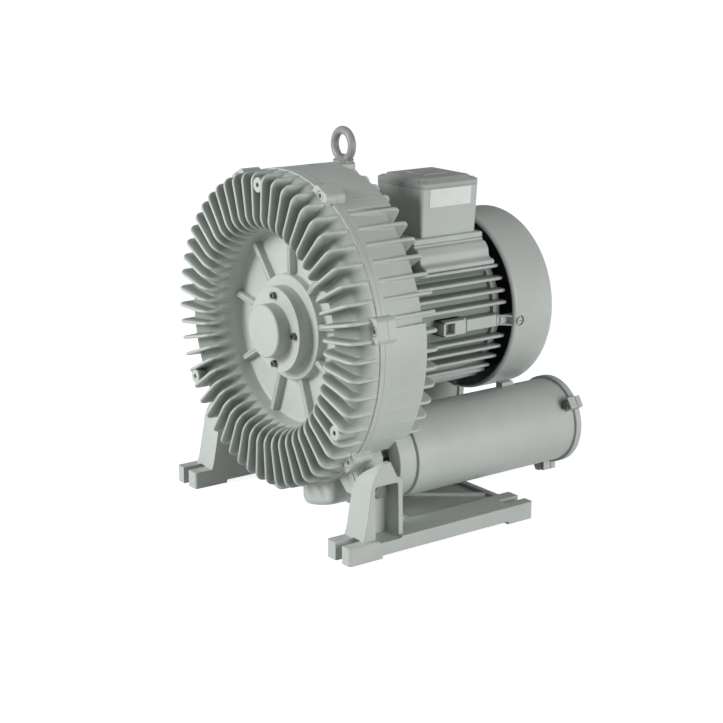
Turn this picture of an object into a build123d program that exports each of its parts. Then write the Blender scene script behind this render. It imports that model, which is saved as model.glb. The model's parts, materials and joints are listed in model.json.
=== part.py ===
from build123d import *
from math import atan, cos, degrees, radians, sqrt
import os

# Side channel blower: one impeller stage on the shaft of its motor, two silencers, one cast base.
# Millimetres, +Z up. Y runs along the shaft from the finned cover in front to the fan cowl behind.
# Heights count from the floor and lengths from the front of the cover's fins.
# Angles around the shaft count from the top, positive towards +X.

# Overall sizes
shaft_height = 285.0
seam = 53.0
band_depth = 74.0
base_width = 460.0
base_depth = 334.0
base_front = -6.0
cowl_front = 364.0
cowl_depth = 84.0
silencer_offset = 139.0
silencer_height = 112.5

# Clearances
fit_gap = 0.05
seat_gap = 0.15
running_gap = 0.3

# Annular channel and its walls
channel_radius = 21.0
channel_circle = 170.0
wall = 6.0
front_channel_centre = seam - 4.0
rear_channel_centre = seam + band_depth - channel_radius - wall
web_thickness = 8.0
cover_web = 64.0
casing_web = 88.0
casing_web_thickness = 10.0
stripper_half_angle = 9.0

# Front wall of the cover: level crest, round shoulder and the cored pocket behind it
cover_crest_front = 20.0
shoulder_circle = 203.0
shoulder_radius = 26.0
shoulder_wall = 6.5

# Cooling fins of cover and casing
fin_count = 54
fin_thickness = 5.5
fin_corner = 14.0
fin_reach = 229.0
fin_foot_reach = 230.0
rear_fin_end = 150.0
rear_fin_inner = 152.0

# Rim of cover and casing
flange_radius = 231.0
cover_flange = 8.0
casing_flange = 8.0
band_front_radius = 229.0
band_rear_radius = 222.0
smooth_radius = 230.6
top_smooth_angles = (-20.0, 35.0)
side_smooth_angles = (80.0, 130.0)
rim_bolt_steps = (-20, -12, -4, 4, 12, 20)
rim_bolt_circle = 231.5
rim_bolt_radius = 4.0
rim_bolt_head_radius = 6.5
rim_bolt_head_height = 8.0
rim_bolt_thread_end = 11.5
rim_lug_reach = 241.0
rim_lug_width = 36.0
rim_lug_corner = 5.0
rim_lug_start = 223.5
cover_lug_front = 36.0
casing_lug_depth = 15.0
boss_front = 2.0
boss_rear = 34.0
boss_angles = (0.0, 120.0, -120.0)
boss_circle = 212.0
boss_radius = 11.0
boss_hole_radius = 3.4
boss_hole_depth = 12.0

# Hub of the cover
hub_outer_radius = 78.0
hub_outer_front = 50.0
hub_front = 37.0
web_rib_count = 9
web_rib_thickness = 9.0
web_rib_height = 12.0

# Bearing cap in the middle of the cover
cap_flange_radius = 62.5
cap_flange_front = 29.0
cap_boss_radius = 39.0
cap_boss_front = 8.0
cap_screw_circle = 50.5
cap_screw_count = 4
cap_cavity_radius = 31.0

# Ball bearings, 40 x 80 x 18
bearing_bore = 20.0
bearing_outer = 40.0
bearing_width = 18.0
bearing_pitch = 30.0
ball_radius = 5.5
ball_count = 9
front_bearing_start = 39.0
rear_bearing_start = 341.0

# Shaft and impeller
impeller_hub_start = 74.0
impeller_hub_end = 104.0
impeller_hub_clearance = 1.5
impeller_hub_radius = 38.0
impeller_disc_front = 75.0
impeller_disc_thickness = 8.0
impeller_rim_radius = 151.0
impeller_rim_thickness = 5.0
impeller_radius = 189.5
impeller_blade_front = 56.0
impeller_blade_rear = 97.0
impeller_blade_count = 52
impeller_blade_thickness = 2.5
spacer_radius = 24.0
seal_shaft_radius = 22.5
seal_radius = 32.5
seal_width = 8.0
core_seat_radius = 25.0
fan_seat_radius = 17.0
shaft_front = 24.0
shaft_rear = 424.0
nut_radius = 27.0
nut_thickness = 8.0

# Motor
motor_front = seam + band_depth + 1.0
motor_flange_radius = 124.0
motor_flange_thickness = 13.0
motor_bolt_circle = 112.0
motor_bolt_angles = (22.5, 67.5, 112.5, 157.5, 202.5, 247.5, 292.5, 337.5)
frame_bore = 92.0
frame_wall = 7.0
frame_rear = 352.0
motor_fin_tip = 122.0
motor_fin_thickness = 5.0
motor_fin_pitch = 17.4
motor_fin_front = 156.0
motor_fin_rear = 362.0
flank_front = 243.0
flank_groove = 285.5
flank_half_height = 11.0
flank_panel_half_height = 9.2
flank_panel_step = 2.5
core_front = 172.0
core_rear = 308.0
rotor_radius = 57.4
stator_bore = 58.0
slot_count = 36
rotor_bar_count = 28
rotor_bar_radius = 3.0
rotor_bar_circle = 51.0
winding_overhang = 26.0
shield_radius = 105.0
shield_thickness = 12.0

# Fan and cowl
cowl_radius = 140.0
cowl_wall = 2.0
cowl_lip = 5.4
cowl_seat_radius = 8.0
cowl_corner = 16.0
cowl_slot_width = 5.0
cowl_slot_count = 24
cowl_arm_end = 385.0
cowl_arm_thickness = 6.0
cowl_arm_depth = 13.0
cowl_arm_half_width = 8.0
cowl_screw_place = 375.0
fan_radius = 116.0
fan_front = 386.0
fan_depth = 32.0
fan_blade_count = 8

# Terminal box on its saddle
saddle_top = 405.0
saddle_front = 222.0
saddle_rear = 354.0
box_left = -37.0
box_right = 74.0
box_front = 237.0
box_rear = 347.0
box_seam = 476.5
box_top = 491.0
box_wall = 4.0
box_corner = 8.0
box_draft = 3.2
lid_edge = 5.5
lid_bevel = 12.0
lid_rim = 16.0
lid_hollow = 8.0
lid_screw_seat = 484.5
lid_panel_height = 2.0
post_inset = 9.0
post_radius = 6.0
post_height = 36.0
entry_radius = 12.5
entry_height = 440.0
entry_spacing = 44.0
gasket_thickness = 1.5
nameplate_thickness = 0.6
nameplate_length = 77.5
nameplate_height = 26.5

# Silencers
silencer_radius = 63.5
silencer_wall = 5.5
silencer_front = 136.0
silencer_cover_front = 434.0
silencer_rear = 448.0
silencer_flange_radius = 67.0
port_neck_radius = 60.0
port_flange_rear = 134.5
port_minor_radius = 36.1
port_thread_length = 28.0
duct_radius = 34.0
screen_radius = 42.0
screen_wall = 1.2
end_lug_angles = (57.0, 177.0, 297.0)
end_lug_circle = 71.5
end_lug_reach = 78.0
end_lug_depth = 14.0
end_lug_step = 4.0
end_screw_head = 5.3
port_screw_angles = (45.0, 135.0, 225.0, 315.0)
port_screw_circle = 50.0

# Port block under the casing
port_block_inner = 26.0
port_block_outer = 106.0
port_block_rear = 128.0
port_block_reach = 264.0
port_block_corner = 14.0
port_block_wall = 9.0
port_chamber_bottom = 45.0

# Base casting
base_height = 26.0
pad_height = 4.5
pad_length = 57.0
rail_width = 54.0
tray_front = 132.0
tray_rear_inset = 20.0
tray_bottom = 10.0
tray_top = 21.0
foot_slot_width = 15.0
foot_slot_depth = 32.0
foot_slot_spacing = 409.0
upright_outer = 222.0
upright_front = 28.0
upright_rear = 92.5
upright_top = 133.0
pocket_front = 45.0
pocket_rear = 85.0
pocket_top = 102.0
pocket_floor = 193.0
foot_bolt_place = 67.0
foot_bolt_height = 87.0

# Lifting eye, M12
eye_place = 151.0
eye_seat = 516.0
eye_pad_half_width = 17.0
eye_height = 53.0
eye_ring_radius = 21.0
eye_wire_radius = 6.0
eye_collar_radius = 15.0

inner_rail = base_width / 2 - rail_width
base_rear = base_front + base_depth
machine_centre = (base_front + silencer_rear) / 2
rim_bolt_angles = [step * 360.0 / fin_count for step in rim_bolt_steps]
fin_pitch = 360.0 / fin_count
outer_channel = channel_circle + channel_radius
inner_channel = channel_circle - channel_radius
shell_radius = channel_radius + wall
band_rear = seam + band_depth
shoulder_centre = cover_crest_front + shoulder_radius
rim_front = seam - cover_flange
diagonal = sqrt(0.5)
flank_drop = motor_fin_pitch / 2
cowl_lip_radius = cowl_radius - cowl_lip
arm_reach = cowl_lip_radius - running_gap
arm_tilt = degrees(atan(flank_drop / arm_reach))
cowl_arm_angles = (0.0, 90.0 + arm_tilt, 180.0, 270.0 - arm_tilt)


# Helpers

def outline(*pieces):
    """A flat face in the XY plane, bounded by lines and arcs."""
    return make_face([edge for piece in pieces for edge in piece.edges()])


def polygon(*points):
    return make_face(Polyline(*points, close=True).edges())


def on_shaft(shape):
    """Lifts something made around the Y axis up to the shaft."""
    return Pos(0, 0, shaft_height) * shape


def turned(face, start=0.0, sweep=360.0):
    """Turns a face of radius along X and length along Y about the shaft, over a range of angles."""
    return on_shaft(Rot(0, start - 90, 0) * revolve(face, Axis.Y, sweep))


def ring(inner, outer, front, rear):
    """A plain ring around the shaft."""
    return turned(polygon((inner, front), (outer, front), (outer, rear), (inner, rear)))


def at_angle(angle, shape):
    """Turns a shape that points along +X to an angle around the shaft."""
    return on_shaft(Rot(0, angle - 90, 0) * shape)


def rod(radius, front, rear, x=0.0, z=0.0):
    """A cylinder along Y."""
    length = rear - front
    return Pos(x, front + length / 2, z) * Cylinder(radius, length, rotation=(90, 0, 0))


def block(x0, x1, y0, y1, z0, z1):
    centre = Pos((x0 + x1) / 2, (y0 + y1) / 2, (z0 + z1) / 2)
    return centre * Box(x1 - x0, y1 - y0, z1 - z0)


def upright_rod(radius, bottom, top, x, y):
    return Pos(x, y, (bottom + top) / 2) * Cylinder(radius, top - bottom)


def cross_rod(radius, x0, x1, y, z):
    """A cylinder along X."""
    return Pos((x0 + x1) / 2, y, z) * Cylinder(radius, abs(x1 - x0), rotation=(0, 90, 0))


def hexagon_prism(across_flats, front, rear):
    """A hexagon along Y, around the Y axis."""
    face = Plane.XZ * RegularPolygon(across_flats / 2, 6, major_radius=False)
    return Pos(0, rear, 0) * extrude(face, amount=rear - front)


def socket_screw(radius, head_radius, head_front, seat, end):
    """A cap screw along Y: head in front of its seat, with a hexagon socket."""
    body = rod(head_radius, head_front, seat) + rod(radius, seat, end)
    socket = hexagon_prism(radius * 1.6, head_front - 1, head_front + radius)
    return body - socket


def hexagon_screw(radius, across_flats, head_height, length):
    """A hexagon screw along -Y, with its head's seat at zero and its head behind it."""
    return hexagon_prism(across_flats, 0, head_height) + rod(radius, -length, 0)


def mirrored(shape):
    return mirror(shape, Plane.YZ)


# Cover

def cover_shell():
    """Web, dish wall, channel crest, round shoulder and rim flange, without the bearing's opening."""
    shoulder_foot = shoulder_circle + sqrt(shoulder_radius ** 2 - (rim_front - shoulder_centre) ** 2)
    crest_centre = cover_crest_front + shell_radius
    web_rear = cover_web + web_thickness
    wall_inner = channel_circle - shell_radius
    pocket = shoulder_radius - shoulder_wall
    shell_diagonal = shell_radius * diagonal
    face = outline(
        Polyline((shoulder_foot, rim_front), (flange_radius, rim_front), (flange_radius, seam),
                 (shoulder_circle + pocket, seam), (shoulder_circle + pocket, shoulder_centre)),
        shoulder_arc(pocket, shoulder_circle + pocket, shoulder_centre),
        Polyline((shoulder_circle, shoulder_centre - pocket), (shoulder_circle, seam),
                 (outer_channel, seam), (outer_channel, front_channel_centre)),
        ThreePointArc((outer_channel, front_channel_centre),
                      (channel_circle, front_channel_centre - channel_radius),
                      (inner_channel, front_channel_centre)),
        Polyline((inner_channel, front_channel_centre), (inner_channel, web_rear),
                 (seal_radius - 1.5, web_rear), (seal_radius - 1.5, web_rear - 11),
                 (seal_radius + 2.5, web_rear - 11), (seal_radius + 2.5, web_rear - 15),
                 (bearing_outer, web_rear - 15), (bearing_outer, hub_front),
                 (cap_flange_radius, hub_front), (cap_flange_radius, hub_outer_front),
                 (hub_outer_radius, hub_outer_front), (hub_outer_radius, cover_web),
                 (wall_inner, cover_web), (wall_inner, crest_centre)),
        ThreePointArc((wall_inner, crest_centre),
                      (channel_circle - shell_diagonal, crest_centre - shell_diagonal),
                      (channel_circle, cover_crest_front)),
        Line((channel_circle, cover_crest_front), (shoulder_circle, cover_crest_front)),
        shoulder_arc(shoulder_radius, shoulder_foot, rim_front),
    )
    return turned(face)


def shoulder_arc(radius, end, end_length):
    """Arc around the shoulder's centre, between its front point and the given end."""
    return ThreePointArc((end, end_length),
                         (shoulder_circle + radius * diagonal, shoulder_centre - radius * diagonal),
                         (shoulder_circle, shoulder_centre - radius))


def cover_fin():
    """One fin: from the dish wall over the crest of the channel and round to the rim."""
    inner = channel_circle - shell_radius + 0.5
    root = shoulder_radius - shoulder_wall / 2
    corner_share = fin_corner * (1 - diagonal)
    face = outline(
        Polyline((inner, front_channel_centre - 4), (inner, 30)),
        ThreePointArc((inner, 30), (inner + 6.5, 9), (inner + 24, 0)),
        Line((inner + 24, 0), (fin_reach - fin_corner, 0)),
        ThreePointArc((fin_reach - fin_corner, 0), (fin_reach - corner_share, corner_share),
                      (fin_reach, fin_corner)),
        Polyline((fin_reach, fin_corner), (fin_foot_reach, rim_front + 2),
                 (shoulder_circle + root, rim_front + 2),
                 (shoulder_circle + root, shoulder_centre)),
        shoulder_arc(root, shoulder_circle + root, shoulder_centre),
        Polyline((shoulder_circle, shoulder_centre - root), (channel_circle, cover_crest_front + 5),
                 (channel_circle - 16, front_channel_centre - 16),
                 (inner_channel, front_channel_centre - 8), (inner, front_channel_centre - 4)),
    )
    return extrude(face, amount=fin_thickness / 2, both=True)


def rim_lug(front, rear):
    """A wide bolt pad on the rim, pointing along +X, with bevelled edges."""
    half = rim_lug_width / 2
    side = rim_lug_reach - rim_lug_corner
    face = polygon((rim_lug_start, -half), (side, -half), (rim_lug_reach, -half + rim_lug_corner),
                   (rim_lug_reach, half - rim_lug_corner), (side, half), (rim_lug_start, half))
    return Pos(0, rear, 0) * extrude(Plane.XZ * face, amount=rear - front)


def web_rib(angle):
    top = cover_web - web_rib_height
    half = web_rib_thickness / 2
    inner = hub_outer_radius - 2
    return at_angle(angle, block(inner, inner_channel - 4, top, cover_web + 1, -half, half))


def stripper(front, rear):
    """Fills the channel between the two ports, outside the impeller's blades."""
    outer = outer_channel - running_gap
    face = polygon((inner_channel - 2, front), (outer, front), (outer, rear),
                   (inner_channel - 2, rear))
    return turned(face, 180 - stripper_half_angle, 2 * stripper_half_angle)


def rim_bolt_seat():
    return cover_lug_front + 0.5 + rim_bolt_head_height


def rim_bolt_way():
    """Counterbore and clearance hole for one rim bolt in the cover's pad."""
    head = rod(rim_bolt_head_radius + 0.5, cover_lug_front - 1, rim_bolt_seat(), rim_bolt_circle)
    return head + rod(rim_bolt_radius + 0.4, rim_bolt_seat() - 1, seam + 1, rim_bolt_circle)


def fin_angles():
    return [(index + 0.5) * fin_pitch for index in range(fin_count)]


def casing_cover():
    """Front half of the blower housing, with the bearing seat in its hub."""
    fins = [at_angle(angle, cover_fin()) for angle in fin_angles()]
    ribs = [web_rib(360.0 / web_rib_count * index) for index in range(web_rib_count)]
    lugs = [at_angle(angle, rim_lug(cover_lug_front, seam)) for angle in rim_bolt_angles]
    bosses = [at_angle(angle, rod(boss_radius, boss_front, boss_rear, boss_circle))
              for angle in boss_angles]
    cover = cover_shell() + fins + ribs + lugs + bosses
    cover += stripper(front_channel_centre - channel_radius - 1, impeller_blade_front - 0.8)
    cuts = [at_angle(angle, rod(boss_hole_radius, 0, boss_hole_depth, boss_circle))
            for angle in boss_angles]
    cuts += [at_angle(angle, rim_bolt_way()) for angle in rim_bolt_angles]
    cuts += [at_angle(angle, rod(3.2, hub_front - 1, hub_front + 17, cap_screw_circle))
             for angle in cap_screw_angles()]
    return cover - cuts


def cap_screw_angles():
    return [360.0 / cap_screw_count * index for index in range(cap_screw_count)]


def bearing_cap():
    """Turned cap that closes the bearing seat in front."""
    spigot = bearing_outer - seat_gap
    face = polygon((0, cap_boss_front), (cap_boss_radius - 2, cap_boss_front),
                   (cap_boss_radius, cap_boss_front + 2), (cap_boss_radius, cap_flange_front),
                   (cap_flange_radius, cap_flange_front), (cap_flange_radius, hub_front),
                   (spigot, hub_front), (spigot, front_bearing_start),
                   (cap_cavity_radius, front_bearing_start),
                   (cap_cavity_radius, cap_boss_front + 8), (0, cap_boss_front + 8))
    holes = [at_angle(angle, rod(3.3, cap_flange_front - 1, hub_front + 1, cap_screw_circle))
             for angle in cap_screw_angles()]
    return turned(face) - holes


def bearing_cap_screws():
    screw = socket_screw(3.0, 5.0, cap_flange_front - 6, cap_flange_front, hub_front + 15)
    screw = Pos(cap_screw_circle, 0, 0) * screw
    return [at_angle(angle, screw) for angle in cap_screw_angles()]


def cover_bolts():
    seat = rim_bolt_seat()
    screw = socket_screw(rim_bolt_radius, rim_bolt_head_radius, seat - rim_bolt_head_height, seat,
                         seam + rim_bolt_thread_end)
    screw = Pos(rim_bolt_circle, 0, 0) * screw
    return [at_angle(angle, screw) for angle in rim_bolt_angles]


# Casing

def rear_seal_front():
    return impeller_hub_end + impeller_hub_clearance + 3


def casing_shell():
    """Rear half of the channel, web, seal hub, motor ring and the sloping outer band."""
    flange_rear = seam + casing_flange
    web_rear = casing_web + casing_web_thickness
    shell_outer = channel_circle + shell_radius
    shell_inner = channel_circle - shell_radius
    ring_inner = frame_bore + 8
    hub_radius = seal_radius + 18
    recess_radius = impeller_hub_radius + impeller_hub_clearance
    recess_rear = impeller_hub_end + impeller_hub_clearance
    seal_seat = rear_seal_front()
    face = outline(
        Polyline((outer_channel, rear_channel_centre), (outer_channel, seam),
                 (flange_radius, seam), (flange_radius, flange_rear),
                 (band_front_radius, flange_rear), (band_rear_radius, band_rear),
                 (band_rear_radius - wall, band_rear), (band_front_radius - wall, flange_rear + 6),
                 (shell_outer, flange_rear + 6), (shell_outer, rear_channel_centre)),
        ThreePointArc((shell_outer, rear_channel_centre),
                      (channel_circle, rear_channel_centre + shell_radius),
                      (shell_inner, rear_channel_centre)),
        Polyline((shell_inner, rear_channel_centre), (shell_inner, web_rear),
                 (motor_flange_radius, web_rear), (motor_flange_radius, motor_front),
                 (ring_inner, motor_front), (ring_inner, web_rear), (hub_radius, web_rear),
                 (hub_radius, seal_seat + seal_width + 2), (seal_radius, seal_seat + seal_width + 2),
                 (seal_radius, seal_seat), (seal_radius - 4, seal_seat),
                 (seal_radius - 4, recess_rear), (recess_radius, recess_rear),
                 (recess_radius, casing_web), (inner_channel, casing_web),
                 (inner_channel, rear_channel_centre)),
        ThreePointArc((inner_channel, rear_channel_centre),
                      (channel_circle, rear_channel_centre + channel_radius),
                      (outer_channel, rear_channel_centre)),
    )
    return turned(face)


def casing_fin():
    """One rear fin: a radial plate from the channel shell to the crest line on the band."""
    crest = flange_radius - 0.5
    shell_rear = rear_channel_centre + shell_radius
    face = outline(
        Polyline((outer_channel + 2, seam + casing_flange - 2), (crest, seam + casing_flange - 2),
                 (crest, rear_fin_end - 14)),
        ThreePointArc((crest, rear_fin_end - 14), (crest - 4, rear_fin_end - 4),
                      (crest - 14, rear_fin_end)),
        Polyline((crest - 14, rear_fin_end), (rear_fin_inner, rear_fin_end),
                 (rear_fin_inner, shell_rear - 7), (channel_circle, shell_rear - 2),
                 (channel_circle + channel_radius, rear_channel_centre + 10),
                 (outer_channel + 2, seam + casing_flange - 2)),
    )
    return extrude(face, amount=fin_thickness / 2, both=True)


def smooth_band(angles, rear):
    """A stretch of the band that is filled level with the fin crests."""
    face = polygon((band_rear_radius - wall, seam + casing_flange - 1),
                   (smooth_radius, seam + casing_flange - 1),
                   (smooth_radius, rear), (band_rear_radius - wall, rear))
    return turned(face, angles[0], angles[1] - angles[0])


def port_block():
    """Cast duct under the casing on the +X side, round below, with the flange of one silencer."""
    box = block(port_block_inner, port_block_outer, seam, port_block_rear, 0, silencer_height)
    box &= rod(port_block_reach, seam, port_block_rear, 0, shaft_height)
    low_edge = box.edges().filter_by(Axis.Y).sort_by(Axis.Z)[:1]
    box = fillet(low_edge, port_block_corner)
    neck = rod(port_neck_radius, band_rear - 22, port_flange_rear,
               silencer_offset, silencer_height)
    return [box, neck]


def port_passage():
    """Air way from the channel's lower end through the block to the silencer."""
    chamber_rear = band_rear - 4
    mouth = rod(duct_radius, band_rear - 14, port_flange_rear + 1,
                silencer_offset, silencer_height)
    chamber = block(port_block_inner + port_block_wall, port_block_outer - port_block_wall,
                    seam + 22, chamber_rear, port_chamber_bottom, silencer_height - 6)
    link = block(port_block_outer - 20, silencer_offset, band_rear - 16, chamber_rear,
                 silencer_height - 30, silencer_height - 6)
    riser = block(port_block_inner + 16, port_block_outer - 10, seam + 22, band_rear - 10,
                  silencer_height - 8, shaft_height - channel_circle + 18)
    return [mouth, chamber, link, riser]


def casing_foot():
    """Lug on the +X side that stands against the upright of the base."""
    face = polygon((112, 92), (138, 70), (inner_rail, 70), (inner_rail, 126), (160, 150),
                   (130, 140))
    body = extrude(Plane.XZ * face, amount=upright_rear - seam - 1.5)
    return Pos(0, upright_rear, 0) * body


def eye_boss():
    """Pad on top of the casing for the lifting eye."""
    half = eye_pad_half_width
    pad = block(-half, half, band_rear - 30, eye_place + half, eye_seat - 60, eye_seat)
    corners = pad.edges().filter_by(Axis.Z).sort_by(Axis.Y)[2:]
    return fillet(corners, half - 0.5)


def rear_casing():
    """Rear half of the housing: it carries the motor, the silencers, the feet and the eye."""
    fins = [at_angle(angle, casing_fin()) for angle in fin_angles()]
    lugs = [at_angle(angle, rim_lug(seam, seam + casing_lug_depth)) for angle in rim_bolt_angles]
    mirrored_side = (-side_smooth_angles[1], -side_smooth_angles[0])
    body = casing_shell() + fins + lugs
    body += smooth_band(top_smooth_angles, rear_fin_end - 12)
    body += smooth_band(side_smooth_angles, band_rear)
    body += smooth_band(mirrored_side, band_rear)
    sides = port_block() + [casing_foot()]
    body += sides + [mirrored(side) for side in sides]
    body += eye_boss()
    silencer_room = rod(silencer_flange_radius + 4, port_flange_rear, rear_fin_end + 5,
                        silencer_offset, silencer_height)
    motor_room = ring(0, motor_flange_radius + 1.5, motor_front, rear_fin_end + 30)
    bolt_hole = cross_rod(6.4, inner_rail - 34, inner_rail + 1, foot_bolt_place, foot_bolt_height)
    cuts = [chamber_void(), motor_room, silencer_room, mirrored(silencer_room)]
    cuts += [bolt_hole, mirrored(bolt_hole)]
    cuts += port_passage() + [mirrored(way) for way in port_passage()]
    cuts += [at_angle(angle, rod(rim_bolt_radius + seat_gap, seam - 1,
                                 seam + rim_bolt_thread_end + 1, rim_bolt_circle))
             for angle in rim_bolt_angles]
    cuts += [at_angle(angle, rod(5.15, motor_front - 22, motor_front + 1, motor_bolt_circle))
             for angle in motor_bolt_angles]
    cuts.append(upright_rod(6.15, eye_seat - 24, eye_seat + 1, 0, eye_place))
    cuts.append(ring(outer_channel + 6, outer_channel + 9, seam - 1, seam + 2.2))
    cuts += silencer_bolt_holes()
    body -= cuts
    return body + stripper(impeller_blade_rear + 0.8, rear_channel_centre + channel_radius + 1)


def chamber_void():
    """Room of the impeller and the rear half of the channel."""
    face = outline(
        Polyline((outer_channel, rear_channel_centre), (outer_channel, seam - 1),
                 (0, seam - 1), (0, casing_web), (inner_channel, casing_web),
                 (inner_channel, rear_channel_centre)),
        ThreePointArc((inner_channel, rear_channel_centre),
                      (channel_circle, rear_channel_centre + channel_radius),
                      (outer_channel, rear_channel_centre)),
    )
    return turned(face)


def cover_seal():
    """Seal ring in a groove of the casing's flange, inside the bolts."""
    return ring(outer_channel + 6.1, outer_channel + 8.9, seam, seam + 2.1)


def shaft_seal(inner, front, outer=None):
    """Radial shaft seal with a sprung lip groove."""
    outer = outer or seal_radius
    face = polygon((inner + fit_gap, front), (outer - fit_gap, front),
                   (outer - fit_gap, front + seal_width), (outer - 2.5, front + seal_width),
                   (outer - 2.5, front + 2.5), (inner + 3, front + 2.5),
                   (inner + 3, front + seal_width - 1), (inner + fit_gap, front + seal_width - 1))
    return turned(face)


# Bearings

def bearing_rings(start):
    """Inner ring, outer ring, balls and cage of one ball bearing."""
    middle = start + bearing_width / 2
    groove = on_shaft(Pos(0, middle, 0) * Torus(bearing_pitch, ball_radius + 0.12,
                                               rotation=(90, 0, 0)))
    inner = ring(bearing_bore + fit_gap, bearing_pitch - 3.6, start, start + bearing_width)
    outer = ring(bearing_pitch + 3.6, bearing_outer - fit_gap, start, start + bearing_width)
    places = [360.0 / ball_count * index for index in range(ball_count)]
    balls = [at_angle(angle, Pos(bearing_pitch, middle, 0) * Sphere(ball_radius))
             for angle in places]
    pockets = [at_angle(angle, cross_rod(ball_radius + 0.25, bearing_pitch - 4, bearing_pitch + 4,
                                         middle, 0)) for angle in places]
    cage = ring(bearing_pitch - 1.4, bearing_pitch + 1.4, middle - 7.5, middle + 7.5) - pockets
    return inner - groove, outer - groove, balls, cage


# Rotor

def motor_shaft():
    """Stepped shaft: nut thread, bearing and impeller seat, seal run, core seat, rear journal."""
    steps = ((shaft_front, front_bearing_start, nut_radius - 9),
             (front_bearing_start, impeller_hub_end, bearing_bore),
             (impeller_hub_end, motor_fin_front, seal_shaft_radius),
             (motor_fin_front, rear_bearing_start - 12, core_seat_radius),
             (rear_bearing_start - 12, rear_bearing_start, bearing_bore + 4),
             (rear_bearing_start, rear_bearing_start + bearing_width, bearing_bore),
             (rear_bearing_start + bearing_width, shaft_rear, fan_seat_radius))
    points = [(0, steps[0][0])]
    for front, rear, radius in steps:
        points += [(radius, front), (radius, rear)]
    points.append((0, steps[-1][1]))
    keyway = on_shaft(block(-6.1, 6.1, impeller_hub_start + 2, impeller_hub_end - 2,
                            bearing_bore - 5, bearing_bore + 1))
    circlip_groove = ring(fan_seat_radius - 1.2, fan_seat_radius + 2,
                          fan_front + fan_depth, fan_front + fan_depth + 1.8)
    return turned(polygon(*points)) - keyway - circlip_groove


def impeller_key():
    return on_shaft(block(-6, 6, impeller_hub_start + 2.1, impeller_hub_end - 2.1,
                          bearing_bore - 4.95, bearing_bore + 3))


def impeller():
    """Disc with a drum rim and straight radial blades on both sides of a thin web."""
    bore = bearing_bore + fit_gap
    disc_rear = impeller_disc_front + impeller_disc_thickness
    rim = impeller_rim_radius + impeller_rim_thickness
    face = polygon((bore, impeller_hub_start), (impeller_hub_radius, impeller_hub_start),
                   (impeller_hub_radius, impeller_disc_front),
                   (impeller_rim_radius, impeller_disc_front),
                   (impeller_rim_radius, impeller_blade_front), (rim, impeller_blade_front),
                   (rim, disc_rear - 6), (impeller_radius, disc_rear - 6),
                   (impeller_radius, disc_rear - 3), (rim, disc_rear - 3),
                   (rim, impeller_blade_rear), (impeller_rim_radius, impeller_blade_rear),
                   (impeller_rim_radius, disc_rear), (impeller_hub_radius, disc_rear),
                   (impeller_hub_radius, impeller_hub_end), (bore, impeller_hub_end))
    half = impeller_blade_thickness / 2
    blade = block(rim - 1, impeller_radius, impeller_blade_front, impeller_blade_rear, -half, half)
    blades = [at_angle(360.0 / impeller_blade_count * index, blade)
              for index in range(impeller_blade_count)]
    keyway = on_shaft(block(-6.1, 6.1, impeller_hub_start - 1, impeller_hub_end + 1,
                            0, bearing_bore + 3.3))
    return turned(face) + blades - keyway


def impeller_locknut():
    """Slotted round nut in front of the bearing's inner ring."""
    front = front_bearing_start - nut_thickness
    nut = ring(nut_radius - 9 + fit_gap, nut_radius, front, front_bearing_start)
    slots = [at_angle(90 * index, block(nut_radius - 3, nut_radius + 1, front - 1,
                                        front_bearing_start + 1, -3, 3)) for index in range(4)]
    return nut - slots


def impeller_spacer():
    """Sleeve between the bearing and the impeller's hub, on which the front seal runs."""
    return ring(bearing_bore + fit_gap, spacer_radius, front_bearing_start + bearing_width,
                impeller_hub_start)


def rotor_bars(radius, front, rear):
    return [at_angle(360.0 / rotor_bar_count * index, rod(radius, front, rear, rotor_bar_circle))
            for index in range(rotor_bar_count)]


def rotor_core():
    return (ring(core_seat_radius + fit_gap, rotor_radius, core_front, core_rear)
            - rotor_bars(rotor_bar_radius + fit_gap, core_front - 1, core_rear + 1))


def rotor_cage():
    """Cast bars and end rings of the squirrel cage."""
    inner = rotor_bar_circle - 7
    outer = rotor_radius - 0.6
    rings = [ring(inner, outer, core_front - 9, core_front), ring(inner, outer, core_rear,
                                                                  core_rear + 9)]
    return rings[0] + rings[1] + rotor_bars(rotor_bar_radius, core_front - 1, core_rear + 1)


def cooling_fan():
    """Radial fan: hub, disc and straight blades."""
    bore = fan_seat_radius + fit_gap
    face = polygon((bore, fan_front), (30, fan_front), (30, fan_front + 3), (fan_radius, fan_front + 3),
                   (fan_radius, fan_front + 6), (30, fan_front + 6), (30, fan_front + fan_depth),
                   (bore, fan_front + fan_depth))
    blade = block(28, fan_radius, fan_front + 5, fan_front + fan_depth - 2, -1.5, 1.5)
    blades = [at_angle(360.0 / fan_blade_count * index, blade) for index in range(fan_blade_count)]
    return turned(face) + blades


def fan_circlip():
    front = fan_front + fan_depth
    clip = ring(fan_seat_radius - 1.1, fan_seat_radius + 4, front + 0.1, front + 1.7)
    return clip - on_shaft(block(-4, 4, front - 1, front + 3, 0, fan_seat_radius + 6))


# Motor

def stator_slots(inner, outer, width, front, rear):
    slot = block(inner, outer, front, rear, -width / 2, width / 2)
    return [at_angle(360.0 / slot_count * index, slot) for index in range(slot_count)]


def stator_core():
    """Laminated ring with winding slots that open to the bore."""
    core = ring(stator_bore, frame_bore - fit_gap, core_front, core_rear)
    front = core_front - 1
    rear = core_rear + 1
    mouths = stator_slots(stator_bore - 1, stator_bore + 6, 2.4, front, rear)
    return core - stator_slots(stator_bore + 4, stator_bore + 21, 5.4, front, rear) - mouths


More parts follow.
